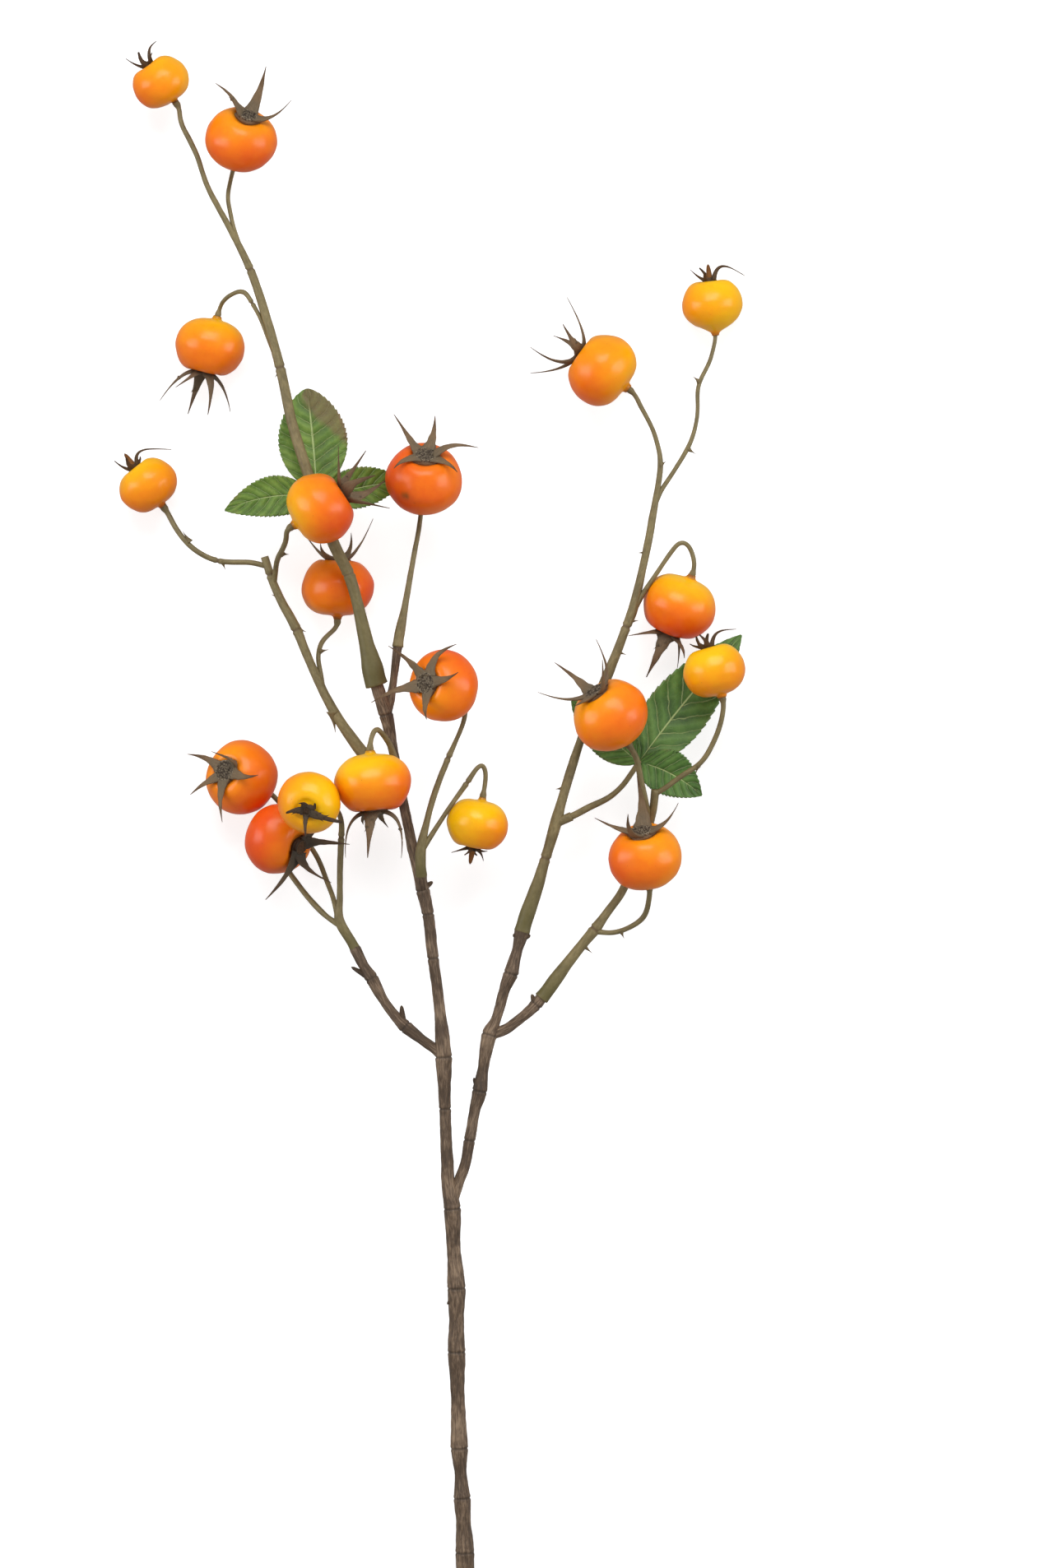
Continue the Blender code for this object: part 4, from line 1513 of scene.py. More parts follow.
@dataclass(frozen=True)
class Twig:
    """A green twig on the end of a bough, with its pedicels and thorns.

    sleeve is how far the greener sleeve at its foot reaches. lead is a first stretch of its
    own, for a twig that doesn't start in line with its bough.
    """

    name: str
    bough: Route
    route: Route
    hip: str = ""
    rings: tuple[Ring, ...] = ()
    sides: tuple[Pedicel, ...] = ()
    thorns: tuple[Spine, ...] = ()
    sleeve: float = 22.0
    lead: Route = ()

    def build(self, shop: Shop, hips: Mapping[str, Hip], turn: float) -> bpy.types.Object:
        """The twig, its pedicels and its thorns as one piece.

        Args:
            shop: The masters and materials.
            hips: The hips by name, for the necks that the stems lead to.
            turn: A number that sets its streaks apart from the next twig's.

        Returns:
            The piece in its place.
        """
        route = (*self.lead, *self.route) if self.lead else butted(self.bough, self.route)
        if self.hip:
            route = led_to_neck(route, hips[self.hip])
        marks = tuple(replace(ring, point=ring.point + len(self.lead or (0, 0))) for ring in self.rings)
        joint = (Ring(0, height=0.2, breadth=0.8, groove=-0.2),) if self.sleeve else ()
        main = Shoot(route, (*joint, *marks), around=18, ridges=0.10, sleeve=self.sleeve)
        pieces = [main.build(f"{self.name}_main", turn)]
        for index, side in enumerate(self.sides):
            points = led_to_neck(side.route, hips[side.hip]) if side.hip else side.route
            shoot = Shoot(points, side.rings, around=12, spacing=0.8, ridges=0.05)
            pieces.append(shoot.build(f"{self.name}_side_{index}", turn + 0.3 + index))
        for index, thorn in enumerate(self.thorns):
            pieces.append(thorn.build(f"{self.name}_thorn_{index}", shop.thorn))
        item = joined(f"{self.name}_green", pieces)
        return shop.placed(finished(item, shop.twig), self.name)


# ---- leaves ----------------------------------------------------------------------------------
@dataclass(frozen=True)
class Leaflet:
    """One toothed blade: base, middle and tip of its midrib, and half its width."""

    base: Point
    bend: Point
    tip: Point
    half_width: float
    browning: float = 0.0
    teeth: int = 20
    fold: float = 1.2
    blade: float = 0.5
    across: int = 28
    rows_a_tooth: int = 4
    blunt: float = 0.75
    burnt_side: float = 0.0
    tooth_out: float = 0.45
    tooth_ahead: float = 0.55

    def build(self, name: str, turn: float) -> bpy.types.Object:
        """The blade with its teeth and its quilting.

        Args:
            name: The object's name.
            turn: A number that sets its ripples apart from the next leaflet's.

        Returns:
            The blade, which carries across, along and tone.
        """
        base, bend, tip = Vector(self.base), Vector(self.bend), Vector(self.tip)
        bend = 2 * bend - base / 2 - tip / 2
        ahead = (tip - base).normalized()
        sideways = UP.cross(ahead).normalized()
        count = self.teeth * self.rows_a_tooth
        item = sheet(name, self.across, count)
        corners, over, along, tone = [], [], [], []
        for row in range(count + 1):
            t = row / count
            spot = arc(base, bend, tip, t)
            outline = math.sin(math.pi * t ** 0.85) ** self.blunt if 0 < row < count else 0.0
            part = (row % self.rows_a_tooth) / (self.rows_a_tooth - 1)
            for column in range(self.across + 1):
                share = 2 * column / self.across - 1
                tooth = part * outline * abs(share) ** 6
                half = max(self.half_width * outline * 0.955, 0.4)
                ripple = noise.noise(Vector((share * 1.6, t * 3.5, turn * 4.1)))
                vein = math.cos(math.tau * (LEAF_VEINS * (t - abs(share) * VEIN_SLANT) + 0.5))
                # cupped and rippled, quilted between the veins, and grooved along the midrib
                lift = (self.fold * outline * (share ** 2 + 0.35 * ripple)
                        + 0.08 * outline * vein * (1 - share ** 4)
                        - 0.25 * math.exp(-(share / 0.065) ** 2) * outline)
                out = sideways * share * (half + tooth * self.tooth_out)
                corners.extend((spot + out + ahead * tooth * self.tooth_ahead + UP * lift) * MM)
                over.append(share)
                along.append(t)
                tone.append(self.browning * held((t - 0.35 * share * self.burnt_side - 0.58) / 0.3))
        item.data.vertices.foreach_set("co", corners)
        carry(item, "across", over)
        carry(item, "along", along)
        carry(item, "tone", tone)
        alone(item)
        shell = item.modifiers.new("Blade", "SOLIDIFY")
        shell.thickness = self.blade * MM
        shell.offset = 0
        bpy.ops.object.modifier_apply(modifier=shell.name)
        return welded(item)


@dataclass(frozen=True)
class Leaf:
    """A compound leaf: its stalk and its leaflets."""

    name: str
    stalk: Route
    leaflets: tuple[Leaflet, ...]
    spur: Route = ()

    def build(self, shop: Shop, finish: bpy.types.Material, turn: float) -> bpy.types.Object:
        """The leaf as one piece in its place.

        Args:
            shop: The masters and materials.
            finish: The leaflets' finish.
            turn: A number that sets it apart from the next leaf.

        Returns:
            The piece.
        """
        route = butted(self.spur, self.stalk) if self.spur else self.stalk
        stalk = Shoot(route, around=12, spacing=0.8, ridges=0.04, rounded=True)
        pieces = [finished(stalk.build(f"{self.name}_stalk", turn), shop.twig)]
        for index, leaflet in enumerate(self.leaflets):
            pieces.append(finished(leaflet.build(f"{self.name}_{index}", turn + index), finish))
        return shop.placed(joined(f"{self.name}_green", pieces), self.name)


# ---- the sprig: routes as (x, y, z, radius) --------------------------------------------------
STEM = ((13, -284, 2.55, 3), (12.5, -267, 5, 3.45), (12, -256, 6.5, 2.7), (11.5, -247, 7.5, 3),
        (11, -238, 8.5, 2.2), (10.5, -228.5, 9.5, 3.15), (10, -210, 11.5, 2.5),
        (9.5, -193.5, 13, 3.2), (9.5, -181.5, 14.2, 2.7), (9.5, -170, 15.5, 3.3),
        (8.5, -156, 17, 2.5), (8, -141, 18.8, 3), (6.5, -131, 20, 2.4),
        (5.3, -104.5, 22, 2.05), (4.8, -85.5, 24, 2.9), (3.3, -67, 25.5, 2), (1, -49.5, 26.5, 2.05),
        (-0.8, -33.5, 27.5, 2.05), (-2.7, -24.5, 28, 2.4), (-5.5, -13.5, 28, 1.9),
        (-9.8, 7, 28, 1.8), (-13.8, 28, 29, 1.8), (-16.2, 39.5, 30, 2.5), (-19.8, 51, 31.1, 2.3))
FORK_B = ((-16, 39.5, 30, 1.8), (-14.5, 45, 29.5, 1.6), (-13.2, 53.5, 29, 1.4), (-11.8, 65, 28, 1.7))
FORK_C = ((-10, 7, 28, 1.6), (-12, 10.5, 27, 1.7), (-14.5, 14, 26.2, 1.8))
FORK_D = ((-13, 25, 28.8, 1.2), (-14, 27, 30.5, 1.1), (-14.8, 28.3, 32.8, 1.1))
FORK_E = ((-2.5, -24.5, 28, 1.7), (-3, -22.5, 30.5, 1.8), (-3.3, -18.5, 32.5, 1.9))
RIGHT_BOUGH = ((8, -138.5, 19, 2.1), (10, -132, 19, 2.1), (12.7, -124.5, 19.5, 1.95),
               (14.3, -116, 20, 2.05), (16, -106, 20, 1.95), (18, -98, 20.5, 2.65),
               (19.2, -89.5, 21, 2), (21.5, -77.5, 21.5, 2.7), (23.9, -72, 22, 1.9),
               (27.1, -61, 22.5, 2), (29.3, -55, 23, 2.6), (31.8, -46, 23, 1.9), (33.6, -39, 23, 2.85))
FORK_H = ((21.5, -77.5, 21.5, 1.95), (27, -75.8, 21, 1.9), (33.5, -71, 20.5, 1.85),
          (38.5, -66.5, 20, 2.2), (41, -63.5, 20, 2.2))
LEFT_BOUGH = ((5, -85.5, 24, 1.95), (2.5, -83, 23.5, 1.95), (-2.6, -79.6, 23, 1.85),
              (-9, -74.5, 22.5, 2.35), (-12, -71.5, 22.5, 1.95), (-17, -65, 22, 1.8),
              (-21.4, -56.9, 22, 2.35), (-24.5, -52, 22, 1.9), (-27.7, -45.6, 22, 2.1))
TWIG_A = ((-21, 56.3, 31.2, 3.95), (-21.9, 60, 31.3, 3.45), (-23.2, 65, 31.5, 2.8), (-26.2, 78.5, 31.2, 2.1),
          (-29.7, 90.5, 31, 2.1), (-35, 101, 31, 2.2), (-40, 114.5, 31, 2.1),
          (-45, 128.5, 30.5, 2), (-50.5, 146, 28, 1.9), (-54.8, 166, 25, 1.8), (-61, 188, 22, 1.65),
          (-65.8, 202, 21, 1.5), (-73, 216.5, 20.5, 1.15), (-81.3, 232, 19.5, 0.95),
          (-85.5, 244.3, 18.5, 0.95), (-91.2, 255.7, 17, 0.9))
PEDICEL_02 = ((-68, 206.5, 20.5, 0.8), (-71.5, 216, 20.5, 0.8), (-73, 222.5, 19, 0.8),
              (-74, 229, 16.5, 0.8))
PEDICEL_03 = ((-57, 171, 24, 0.8), (-61.5, 183, 21.5, 0.8), (-65, 189.5, 20.5, 0.8),
              (-68, 194, 19, 0.9), (-71.5, 193.5, 17.5, 0.8), (-75.5, 190.9, 15.5, 0.8))
TWIG_B = ((-11, 70, 27.8, 1.9), (-9, 80.5, 27.3, 1.2), (-6.2, 96.5, 25, 1), (-4.2, 107, 22.3, 0.9))
TWIG_C = ((-20.5, 21, 25, 2.1), (-25.8, 26.8, 25, 2.25), (-35.8, 41.6, 24.5, 1.75),
          (-44.5, 59.8, 23, 1.6), (-48.7, 70.4, 22, 1.75), (-54.8, 81.6, 21, 1.6),
          (-58.5, 90.5, 20, 1.45), (-60.5, 97, 19.5, 1.45))
PEDICEL_04 = ((-59.5, 93.5, 19.5, 1), (-65, 95, 19, 1), (-77.5, 95.5, 18, 1),
              (-86.2, 99.7, 17, 1), (-92, 106, 15.5, 1))
PEDICEL_05 = ((-57, 87.5, 20.5, 1), (-56.5, 92, 23, 1), (-55.7, 96, 30, 1),
              (-53.8, 99.6, 37, 1), (-52.4, 103, 43, 1))
PEDICEL_07 = ((-39, 47.5, 24, 0.95), (-40, 54.5, 22, 0.9), (-41, 60, 20.5, 0.9),
              (-39.6, 66.2, 17, 0.9))
TWIG_D = ((-17.5, 32.5, 37, 0.95), (-20, 34.5, 40.5, 0.95))
TWIG_E = ((-3.5, -10, 34, 1.95), (-1.5, -0.5, 34, 1.25), (1.5, 10.5, 33.5, 1.15),
          (6.5, 23.5, 33, 1.05), (9.4, 30, 32, 0.85), (12.5, 38, 30, 0.85))
PEDICEL_09 = ((-3.5, -11, 34, 1.1), (-0.5, -6, 34, 1), (6.8, 5.2, 33, 0.85), (13.3, 14.4, 32, 1),
              (17, 20, 31.5, 0.85), (19, 21.5, 31, 0.85), (20.3, 18, 30.3, 0.85))
TWIG_F = ((-33.5, -35.5, 23, 1.8), (-33, -29, 23.5, 1.2), (-33, -18, 24.5, 1.1),
          (-32.5, -5.5, 26, 1.15), (-32.5, 1.5, 29, 0.95), (-36, 7.5, 33.5, 0.95))
PEDICEL_11 = ((-33.5, -36.5, 23, 1.1), (-35, -29, 20, 0.95), (-38, -21, 14.5, 0.95),
              (-41.5, -12.5, 10, 0.95), (-48.5, -2, 6, 0.95), (-54.5, 6.5, 4, 0.95))
PEDICEL_13 = ((-33, -37.5, 22.5, 1.2), (-37, -35, 21, 1), (-40.6, -31.7, 19, 1.1),
              (-45.2, -26.7, 14, 1.05), (-50, -20.5, 9, 1), (-56, -12.5, 5.5, 1),
              (-63, -5, 6, 0.95))
TWIG_G = ((35.8, -32, 23.3, 2.75), (39, -23, 23.5, 2.4), (42, -13, 23.5, 1.85),
          (45.7, -0.5, 23, 2.2), (47.5, 6.5, 22.5, 1.8), (51.2, 19, 21, 1.75), (54.8, 30, 20, 1.5),
          (59.5, 42, 20, 1.7), (64.5, 53.5, 20.5, 1.9), (68.5, 63.5, 21, 1.7), (71.5, 71.5, 21, 1.6),
          (73.8, 77.5, 20.5, 1.8), (76.8, 90, 20, 1.45), (79.5, 102.5, 19.5, 1.45),
          (81.5, 114, 19, 1.3), (83, 122.5, 18.5, 1.1), (84, 130.5, 18, 1.05),
          (83.4, 136, 17.5, 0.85), (81, 144, 17, 0.8), (76.8, 151.9, 16.5, 0.85))
PEDICEL_15 = ((81.7, 115.5, 18.8, 1), (84, 121, 18.2, 0.9), (89, 128.5, 17.5, 0.85),
              (95, 139, 16, 0.85), (97.5, 149, 14.5, 0.75), (97.8, 159.5, 13.2, 0.8),
              (102, 168.5, 12, 0.75))
PEDICEL_16 = ((73.8, 76.5, 20.5, 1.1), (77.2, 83, 20.5, 1), (82.3, 90.6, 20.5, 0.85),
              (88, 99, 20, 0.85), (91, 102.3, 19.8, 0.85), (93.8, 101.8, 19.5, 0.85),
              (96.1, 96.8, 19, 0.85))
LEAF_2_SPUR = ((45, -0.5, 23, 1.8), (48, 0.8, 23.3, 1.7), (51.5, 2.3, 23.7, 1.7))
TWIG_H = ((45, -58, 20, 2.55), (49.5, -52, 20, 2.15), (55, -45, 20, 1.85), (60, -39, 20, 2),
          (64.8, -32.4, 19.5, 1.55), (70.4, -24.4, 18, 1.55), (75.5, -12, 17.5, 1.5),
          (78.5, -4.5, 20, 1.45), (80.5, 1.5, 24.5, 1.45), (81.6, 7.5, 28.5, 1.45),
          (82, 12, 29.5, 1.6))
PEDICEL_17 = ((82, 10.5, 29.3, 1), (85.5, 12.5, 30, 0.95), (91.5, 17, 31, 0.95), (98.9, 22.1, 32, 0.95),
              (103.5, 30, 33, 0.95), (106, 37, 33.7, 0.95))
PEDICEL_18 = ((80, 0, 23.5, 1.1), (78.5, 7.5, 30, 1.1), (76.5, 16.5, 33, 1.1),
              (75.2, 23.5, 34.8, 1.1))
PEDICEL_19 = ((59.5, -39.5, 20, 1.2), (63.5, -40.2, 20.5, 0.95), (67, -40.2, 21, 0.95),
              (73, -38.1, 22.5, 0.95), (78.3, -33.8, 24, 1))

BUDS = (Spine((9.5, -172, 15.4), (6, -176, 16), 1.2), Spine((-2.5, -24, 28), (1, -21.5, 28.5), 1.3),
        Spine((-10, -73.5, 22.5), (-10.5, -66.5, 23), 1.4), Spine((-21.5, -57, 22), (-29, -52.5, 22.5), 1.3),
        Spine((18, -98, 20.5), (15.8, -93, 21), 1.4), Spine((29, -55, 23), (32.3, -55, 23.3), 1.4),
        Spine((33.2, -42, 23), (30, -40.8, 23.5), 1.5), Spine((33.2, -42, 23), (36.6, -41.2, 23.5), 1.5),
        Spine((38, -66, 20), (37, -62.5, 20.5), 1.2))

WOODY_STEM = WoodyStem(
    Shoot(STEM, (*rings(1, 3, 5, 7, 9), *rings(11, 13, 14, height=0.22), *rings(16, 17, 18, 22),
                 *rings(23, height=0.12)), around=30, spacing=0.4, ridges=0.24),
    (Shoot(RIGHT_BOUGH, (*rings(3, 5, 7, 10), *rings(12, height=0.12)),
           around=22, spacing=0.4, ridges=0.2),
     Shoot(LEFT_BOUGH, (*rings(3, 6), *rings(8, height=0.12)), around=22, spacing=0.4, ridges=0.2),
     Shoot(FORK_B, rings(3, height=0.25), around=18, spacing=0.7, ridges=0.2),
     Shoot(FORK_C, rings(2, height=0.2), around=16, spacing=0.7, ridges=0.15),
     Shoot(FORK_D, around=14, spacing=0.7, ridges=0.1),
     Shoot(FORK_E, rings(2, height=0.2), around=16, spacing=0.7, ridges=0.15),
     Shoot(FORK_H, rings(3), around=20, spacing=0.7, ridges=0.2)),
    BUDS)

HIPS = {
    "hip_01": Hip((-98.4, 270.3, 15), 126, 0, 20.8, BlushAndShade(0.3, 0.2, 215),
                  (Sepal((-7.7, 1.5, 1), 0.9), Sepal((-3.5, 3.5, 4), 1.0), Sepal((1.5, 3.5, 4), 0.8),
                   Sepal((3.7, 8.5, 1), 1.1, (), 0.3, 2.5)),
                  long_sepals=False, disc_share=0.16, crumbly=False, darkness=0.4),
    "hip_02": Hip((-69, 249.3, 20), 74, 32, 26.2, BlushAndShade(0.5, 0.14, 275),
                  (Sepal((-11.5, 12, 5), 1.1, (0.45,), 0.8, 2.5), Sepal((7, 17.5, -1), 1.4, (), 0.2),
                   Sepal((15.5, 4.5, 7), 1.0, (), 0.5, -2), Sepal((-6, 7, -3))), disc_share=0.25),
    "hip_03": Hip((-80.5, 174, 12.3), -104, 0, 25.5, BlushAndShade(0.42, 0.28, 262),
                  (Sepal((-15.5, -9.6, 4), 1.1, (0.5,), 0.3, -2.5),
                   Sepal((-5, -14.5, -4), 1.3, (-0.6,), -0.3), Sepal((2.2, -15, 8), 1.2, (), 0.2),
                   Sepal((9.6, -13.5, -5), 1.0, (), 0.3, -2.5),
                   Sepal((-9, -5, 10), 0.9)), disc_share=0.24, crumbly=False, darkness=0.5),
    "hip_04": Hip((-103.2, 123.1, 13), 126, 0, 21.6, BlushAndShade(0.3, 0.24, 290),
                  (Sepal((-7, 1.5, 2), 0.9), Sepal((-3, 2.5, 5), 0.9), Sepal((13.7, 6, 0), 0.8, (), 0.3, 3.6),
                   Sepal((2.5, 3.5, -3), 0.8)), long_sepals=False, disc_share=0.16, crumbly=False,
                  darkness=0.2, stub=6.2),
    "hip_05": Hip((-40.2, 114.3, 47.5), 33, 0, 26.6, BlushAndShade(0.48, 0.33, -5),
                  (Sepal((-2, 15, 10), 1.2, (), -0.9), Sepal((8, 14, -9), 1.4, (0.5,)),
                   Sepal((10, 7, 14), 1.5), Sepal((15, 3, -11), 1.6, (-0.5,)),
                   Sepal((15, -5, 9), 1.2, (), 1.0)),
                  crumbly=False, darkness=0.3),
    "hip_06": Hip((-2.4, 125.1, 30), 85, 38, 27.9, BlushAndShade(0.62, 0.13, 140),
                  (Sepal((-11, 15, 0), 1.15, (), 0.4), Sepal((4, 14, -6), 1.25, (), 0.3),
                   Sepal((19, 3.5, 1), 1.1, (), -0.9, 2.2), Sepal((-12.5, -4.5, 7), 1.1, (), 0.8),
                   Sepal((12.5, -6, 7), 1.1, (), -0.8)),
                  disc_share=0.28, bruise=(-6.6, -6, 1.2)),
    "hip_07": Hip((-34, 85.8, 14.2), 90, 0, 26.4, BlushAndShade(0.54, 0.12, 0),
                  (Sepal((13, 14, 0)), Sepal((6, 9, -10)), Sepal((-7, 5, 10)), Sepal((-12, 9, -4)))),
    "hip_08": Hip((4.8, 49.8, 41), 171, 53, 26.1, BlushAndShade(0.52, 0.1, 70),
                  (Sepal((-13, 14, 0), 1.1, (), 0.3), Sepal((9, 16, 3), 1.25, (), -1.6),
                   Sepal((12, 3, 10), 1.1, (), 0.4), Sepal((-20, -5, 0), 1.2, (), 0.8),
                   Sepal((-1, -14, 10), 1.2, (), 0.9)), disc_share=0.29),
    "hip_09": Hip((17.2, -0.6, 30), -101, 0, 22.8, BlushAndShade(0.12, 0.42, 295),
                  (Sepal((-7.4, -1, 2), 0.9), Sepal((-2.5, -2, 4), 0.7), Sepal((4, -4, 1), 0.8),
                   Sepal((5.5, -0.6, 3), 0.8), Sepal((1, -2, -5))), long_sepals=False, disc_share=0.16,
                  crumbly=False, darkness=0.3, stub=6.0),
    "hip_10": Hip((-21, 14.4, 42), -86, 0, 27.9, BlushAndShade(0.36, 0.52, 290),
                  (Sepal((-10.5, -16, 1), 1.0, (), 0.3, -4), Sepal((-2, -16, 9), 1.6, (0.3, -0.4, 0.55), 0.2),
                   Sepal((10, -16, 3), 1.0, (0.6,), 0.3, -4), Sepal((4, -5, -9)), Sepal((-5, -4, -9))),
                  squatness=(0.392, 0.38), disc_share=0.25, crumbly=False, darkness=0.4),
    "hip_11": Hip((-69, 16.5, 16), 157, 54, 27, BlushAndShade(0.5, 0.08, 320),
                  (Sepal((-13, 7, -3)), Sepal((-4, 6, 12), 1.1), Sepal((12, -3, 10), 1.1),
                   Sepal((-13, -8, 0)), Sepal((-2, -19, 4), 1.1)), disc_share=0.29),
    "hip_12": Hip((-43.9, 7.2, 48.5), -111, 70, 22.8, BlushAndShade(0.16, 0.2, 200),
                  (Sepal((-7, -0.3, 2), 1.1, (0.5,), 0.3), Sepal((-2, 3, 3), 1.0), Sepal((3.6, 2.4, 3), 1.0),
                   Sepal((-0.4, -9, 2), 0.8, (), 0.2), Sepal((12.8, -4.4, 2), 1.3, (0.4, -0.5, 0.62), 0.3)),
                  long_sepals=False, disc_share=0.17, crumbly=False, darkness=0.7),
    "hip_13": Hip((-55.5, -6, 21), -20, 35, 25.8, BlushAndShade(0.6, 0.14, 185),
                  (Sepal((18, 0.5, 4), 1.3, (), 0.3), Sepal((10, -13, 5), 1.5),
                   Sepal((-12, -20, 4), 1.6, (), -0.8), Sepal((8, 9, -1))),
                  disc_share=0.22, crumbly=False, darkness=0.95),
    "hip_14": Hip((62.7, 165.3, 16), 144, 0, 26.9, BlushAndShade(0.36, 0.2, 215),
                  (Sepal((-3.7, 20, 0), 0.9), Sepal((-6, 9, 11), 1.3, (0.5,)), Sepal((-8, 7, -9)),
                   Sepal((-17.5, 1, 5), 0.9, (), 0.6, -1.5), Sepal((-17, -7.5, -3), 1.0, (), 0.4, -2)),
                  disc_share=0.22, darkness=0.15),
    "hip_15": Hip((102.9, 189.6, 10.65), 96, 0, 22.2, BlushAndShade(0.12, 0.14, 200),
                  (Sepal((-7, 3, 2), 0.9), Sepal((-2, 2, 5), 0.8), Sepal((13.1, 1, 1), 0.8, (), 0.3, 4.2),
                   Sepal((-3, 4, -5))), long_sepals=False, disc_share=0.16, crumbly=False,
                  darkness=0.2, stub=6.0, neck=0.24, neck_breadth=0.36),
    "hip_16": Hip((90.9, 79.1, 16), -112, -10, 27, BlushAndShade(0.46, 0.48, 254),
                  (Sepal((-14, -1, 10), 1.0, (), 0.4, -1.5), Sepal((-7.5, -16, 3), 1.8, (0.5, -0.4), 0.2),
                   Sepal((7, -9, 12)), Sepal((3, -12, -6), 0.8)),
                  disc_share=0.25, crumbly=False, darkness=0.35, neck=0.08),
    "hip_17": Hip((103.5, 55.5, 34), 106, 0, 22.8, BlushAndShade(0.18, 0.32, 300),
                  (Sepal((-6.5, 0.4, 3), 1.0), Sepal((-4.4, 3, 4), 1.0), Sepal((-0.3, 4, 5), 1.1),
                   Sepal((10.3, 6, 0), 1.0, (), 0.3, 2.8), Sepal((-2, 4, -6))),
                  long_sepals=False, disc_share=0.17, crumbly=False, darkness=0.3),
    "hip_18": Hip((65.7, 38.9, 42), 122, 20, 28.2, BlushAndShade(0.43, 0.1, 330),
                  (Sepal((-13.4, 10.8, -5), 1.3), Sepal((2, 17.5, 2), 1.0, (), 1.2), Sepal((2, 10, 13)),
                   Sepal((-20, -2.5, 1), 0.9, (), -1.2), Sepal((-8, -6, 12), 1.2)), disc_share=0.27),
    "hip_19": Hip((78.3, -12.6, 34), 98, 28, 27.0, BlushAndShade(0.46, 0.16, 200),
                  (Sepal((-17, 5, 2), 1.1, (), 0.4, -1.5), Sepal((-6, 6, 12), 1.2),
                   Sepal((-1, 20, -1), 1.6, (), 0.2), Sepal((13.4, 9.5, 5), 1.1, (), 0.4, -1.5)),
                  disc_share=0.27),
}

TWIGS = (
    Twig("twig_a", STEM, TWIG_A, "hip_01", rings(4, 9, 11, height=0.22),
         (Pedicel(PEDICEL_02, "hip_02"), Pedicel(PEDICEL_03, "hip_03", rings(2, height=0.2))),
         (Spine((-54.5, 165, 25), (-57, 162.5, 25.8), 1.2),), sleeve=60),
    Twig("twig_b", FORK_B, TWIG_B, "hip_06", sleeve=0.01),
    Twig("twig_c", FORK_C, TWIG_C, "", rings(4, 6, height=0.25),
         (Pedicel(PEDICEL_04, "hip_04", rings(2, height=0.2)), Pedicel(PEDICEL_05, "hip_05"),
          Pedicel(PEDICEL_07, "hip_07")),
         (Spine((-35.5, 40.5, 24.7), (-35, 32.5, 25), 1.8), Spine((-48.5, 71, 22), (-45.3, 69.3, 22.5), 1.2),
          Spine((-55, 82, 21), (-58, 83.5, 21.5), 1.2), Spine((-76, 95.5, 18), (-75, 92, 18.5), 1),
          Spine((-88, 102.5, 16.5), (-90.5, 106.8, 17.5), 1), Spine((-54, 98, 34), (-51.3, 97.5, 35.5), 1),
          Spine((-40.5, 62.5, 19.3), (-37, 63, 20), 1)), sleeve=14),
    Twig("twig_d", FORK_D, TWIG_D, "hip_10", sleeve=0,
         lead=((-11, 17, 29.5, 1.2), (-12.3, 21.5, 31, 1.2), (-13.7, 26, 32.3, 1.15), (-15, 29, 34, 1.1))),
    Twig("twig_e", FORK_E, TWIG_E, "hip_08", rings(3, height=0.22),
         (Pedicel(PEDICEL_09, "hip_09", rings(3, height=0.22)),), sleeve=16),
    Twig("twig_f", LEFT_BOUGH, TWIG_F, "hip_12", rings(3, height=0.22),
         (Pedicel(PEDICEL_11, "hip_11"), Pedicel(PEDICEL_13, "hip_13")), sleeve=12),
    Twig("twig_g", RIGHT_BOUGH, TWIG_G, "hip_14", rings(2, 7, 10, height=0.25),
         (Pedicel(PEDICEL_15, "hip_15"), Pedicel(PEDICEL_16, "hip_16"), Pedicel(LEAF_2_SPUR)),
         (Spine((49, 12.5, 21.8), (45.5, 12.5, 22.5), 1.3), Spine((68, 62.5, 21), (71.5, 61, 21.6), 1.2),
          Spine((72.5, 73.5, 21), (76, 73.5, 21.3), 1.2), Spine((78.8, 98.5, 19.7), (75.6, 98.7, 20.3), 1),
          Spine((84, 130.5, 18), (86.2, 131.8, 18.4), 1), Spine((94, 136.5, 16.3), (97, 134.3, 16.7), 0.9),
          Spine((98.2, 161, 13), (95.8, 163.3, 13.5), 0.9)), sleeve=30),
    Twig("twig_h", FORK_H, TWIG_H, "", rings(3, height=0.25),
         (Pedicel(PEDICEL_17, "hip_17"), Pedicel(PEDICEL_18, "hip_18"), Pedicel(PEDICEL_19, "hip_19")),
         (Spine((55.5, -44.5, 20), (59, -48, 20.5), 1.3), Spine((69.5, -39.5, 21.7), (70.5, -42.5, 22), 1),
          Spine((97.5, 20.8, 31.8), (96.5, 17.5, 31.5), 0.9)), sleeve=20),
)

LEAVES = (
    Leaf("leaf_1", ((-42.5, 117.5, 27.3, 0.9), (-42, 120, 27.2, 0.9), (-41.5, 124.5, 26.3, 0.9)),
         (Leaflet((-41.5, 122, 26.6), (-43, 141, 23.5), (-45, 158.4, 20.5), 12.9, 1.0, blunt=0.62,
                  burnt_side=1.0),
          Leaflet((-42, 118.5, 27), (-58, 119, 25), (-75, 114, 21), 7.5, 0.3),
          Leaflet((-42, 118.5, 27), (-25, 122.5, 21.5), (-10, 125, 13.5), 7.5, 0.1))),
    Leaf("leaf_2", ((57.5, 5.5, 24.5, 1.3), (65, 9, 25, 1.1), (71, 14.5, 25, 1), (76, 22, 25, 1)),
         (Leaflet((76, 22, 25), (92, 43, 20.5), (113.5, 68.5, 14.5), 11.5, 0.1),
          Leaflet((76, 22, 25), (87.5, 18, 23.5), (99, 10, 18), 8.5, 0.1),
          Leaflet((76, 22, 25), (64.5, 32, 25.6), (51.5, 44.5, 26), 8, 0.1)), LEAF_2_SPUR),
)


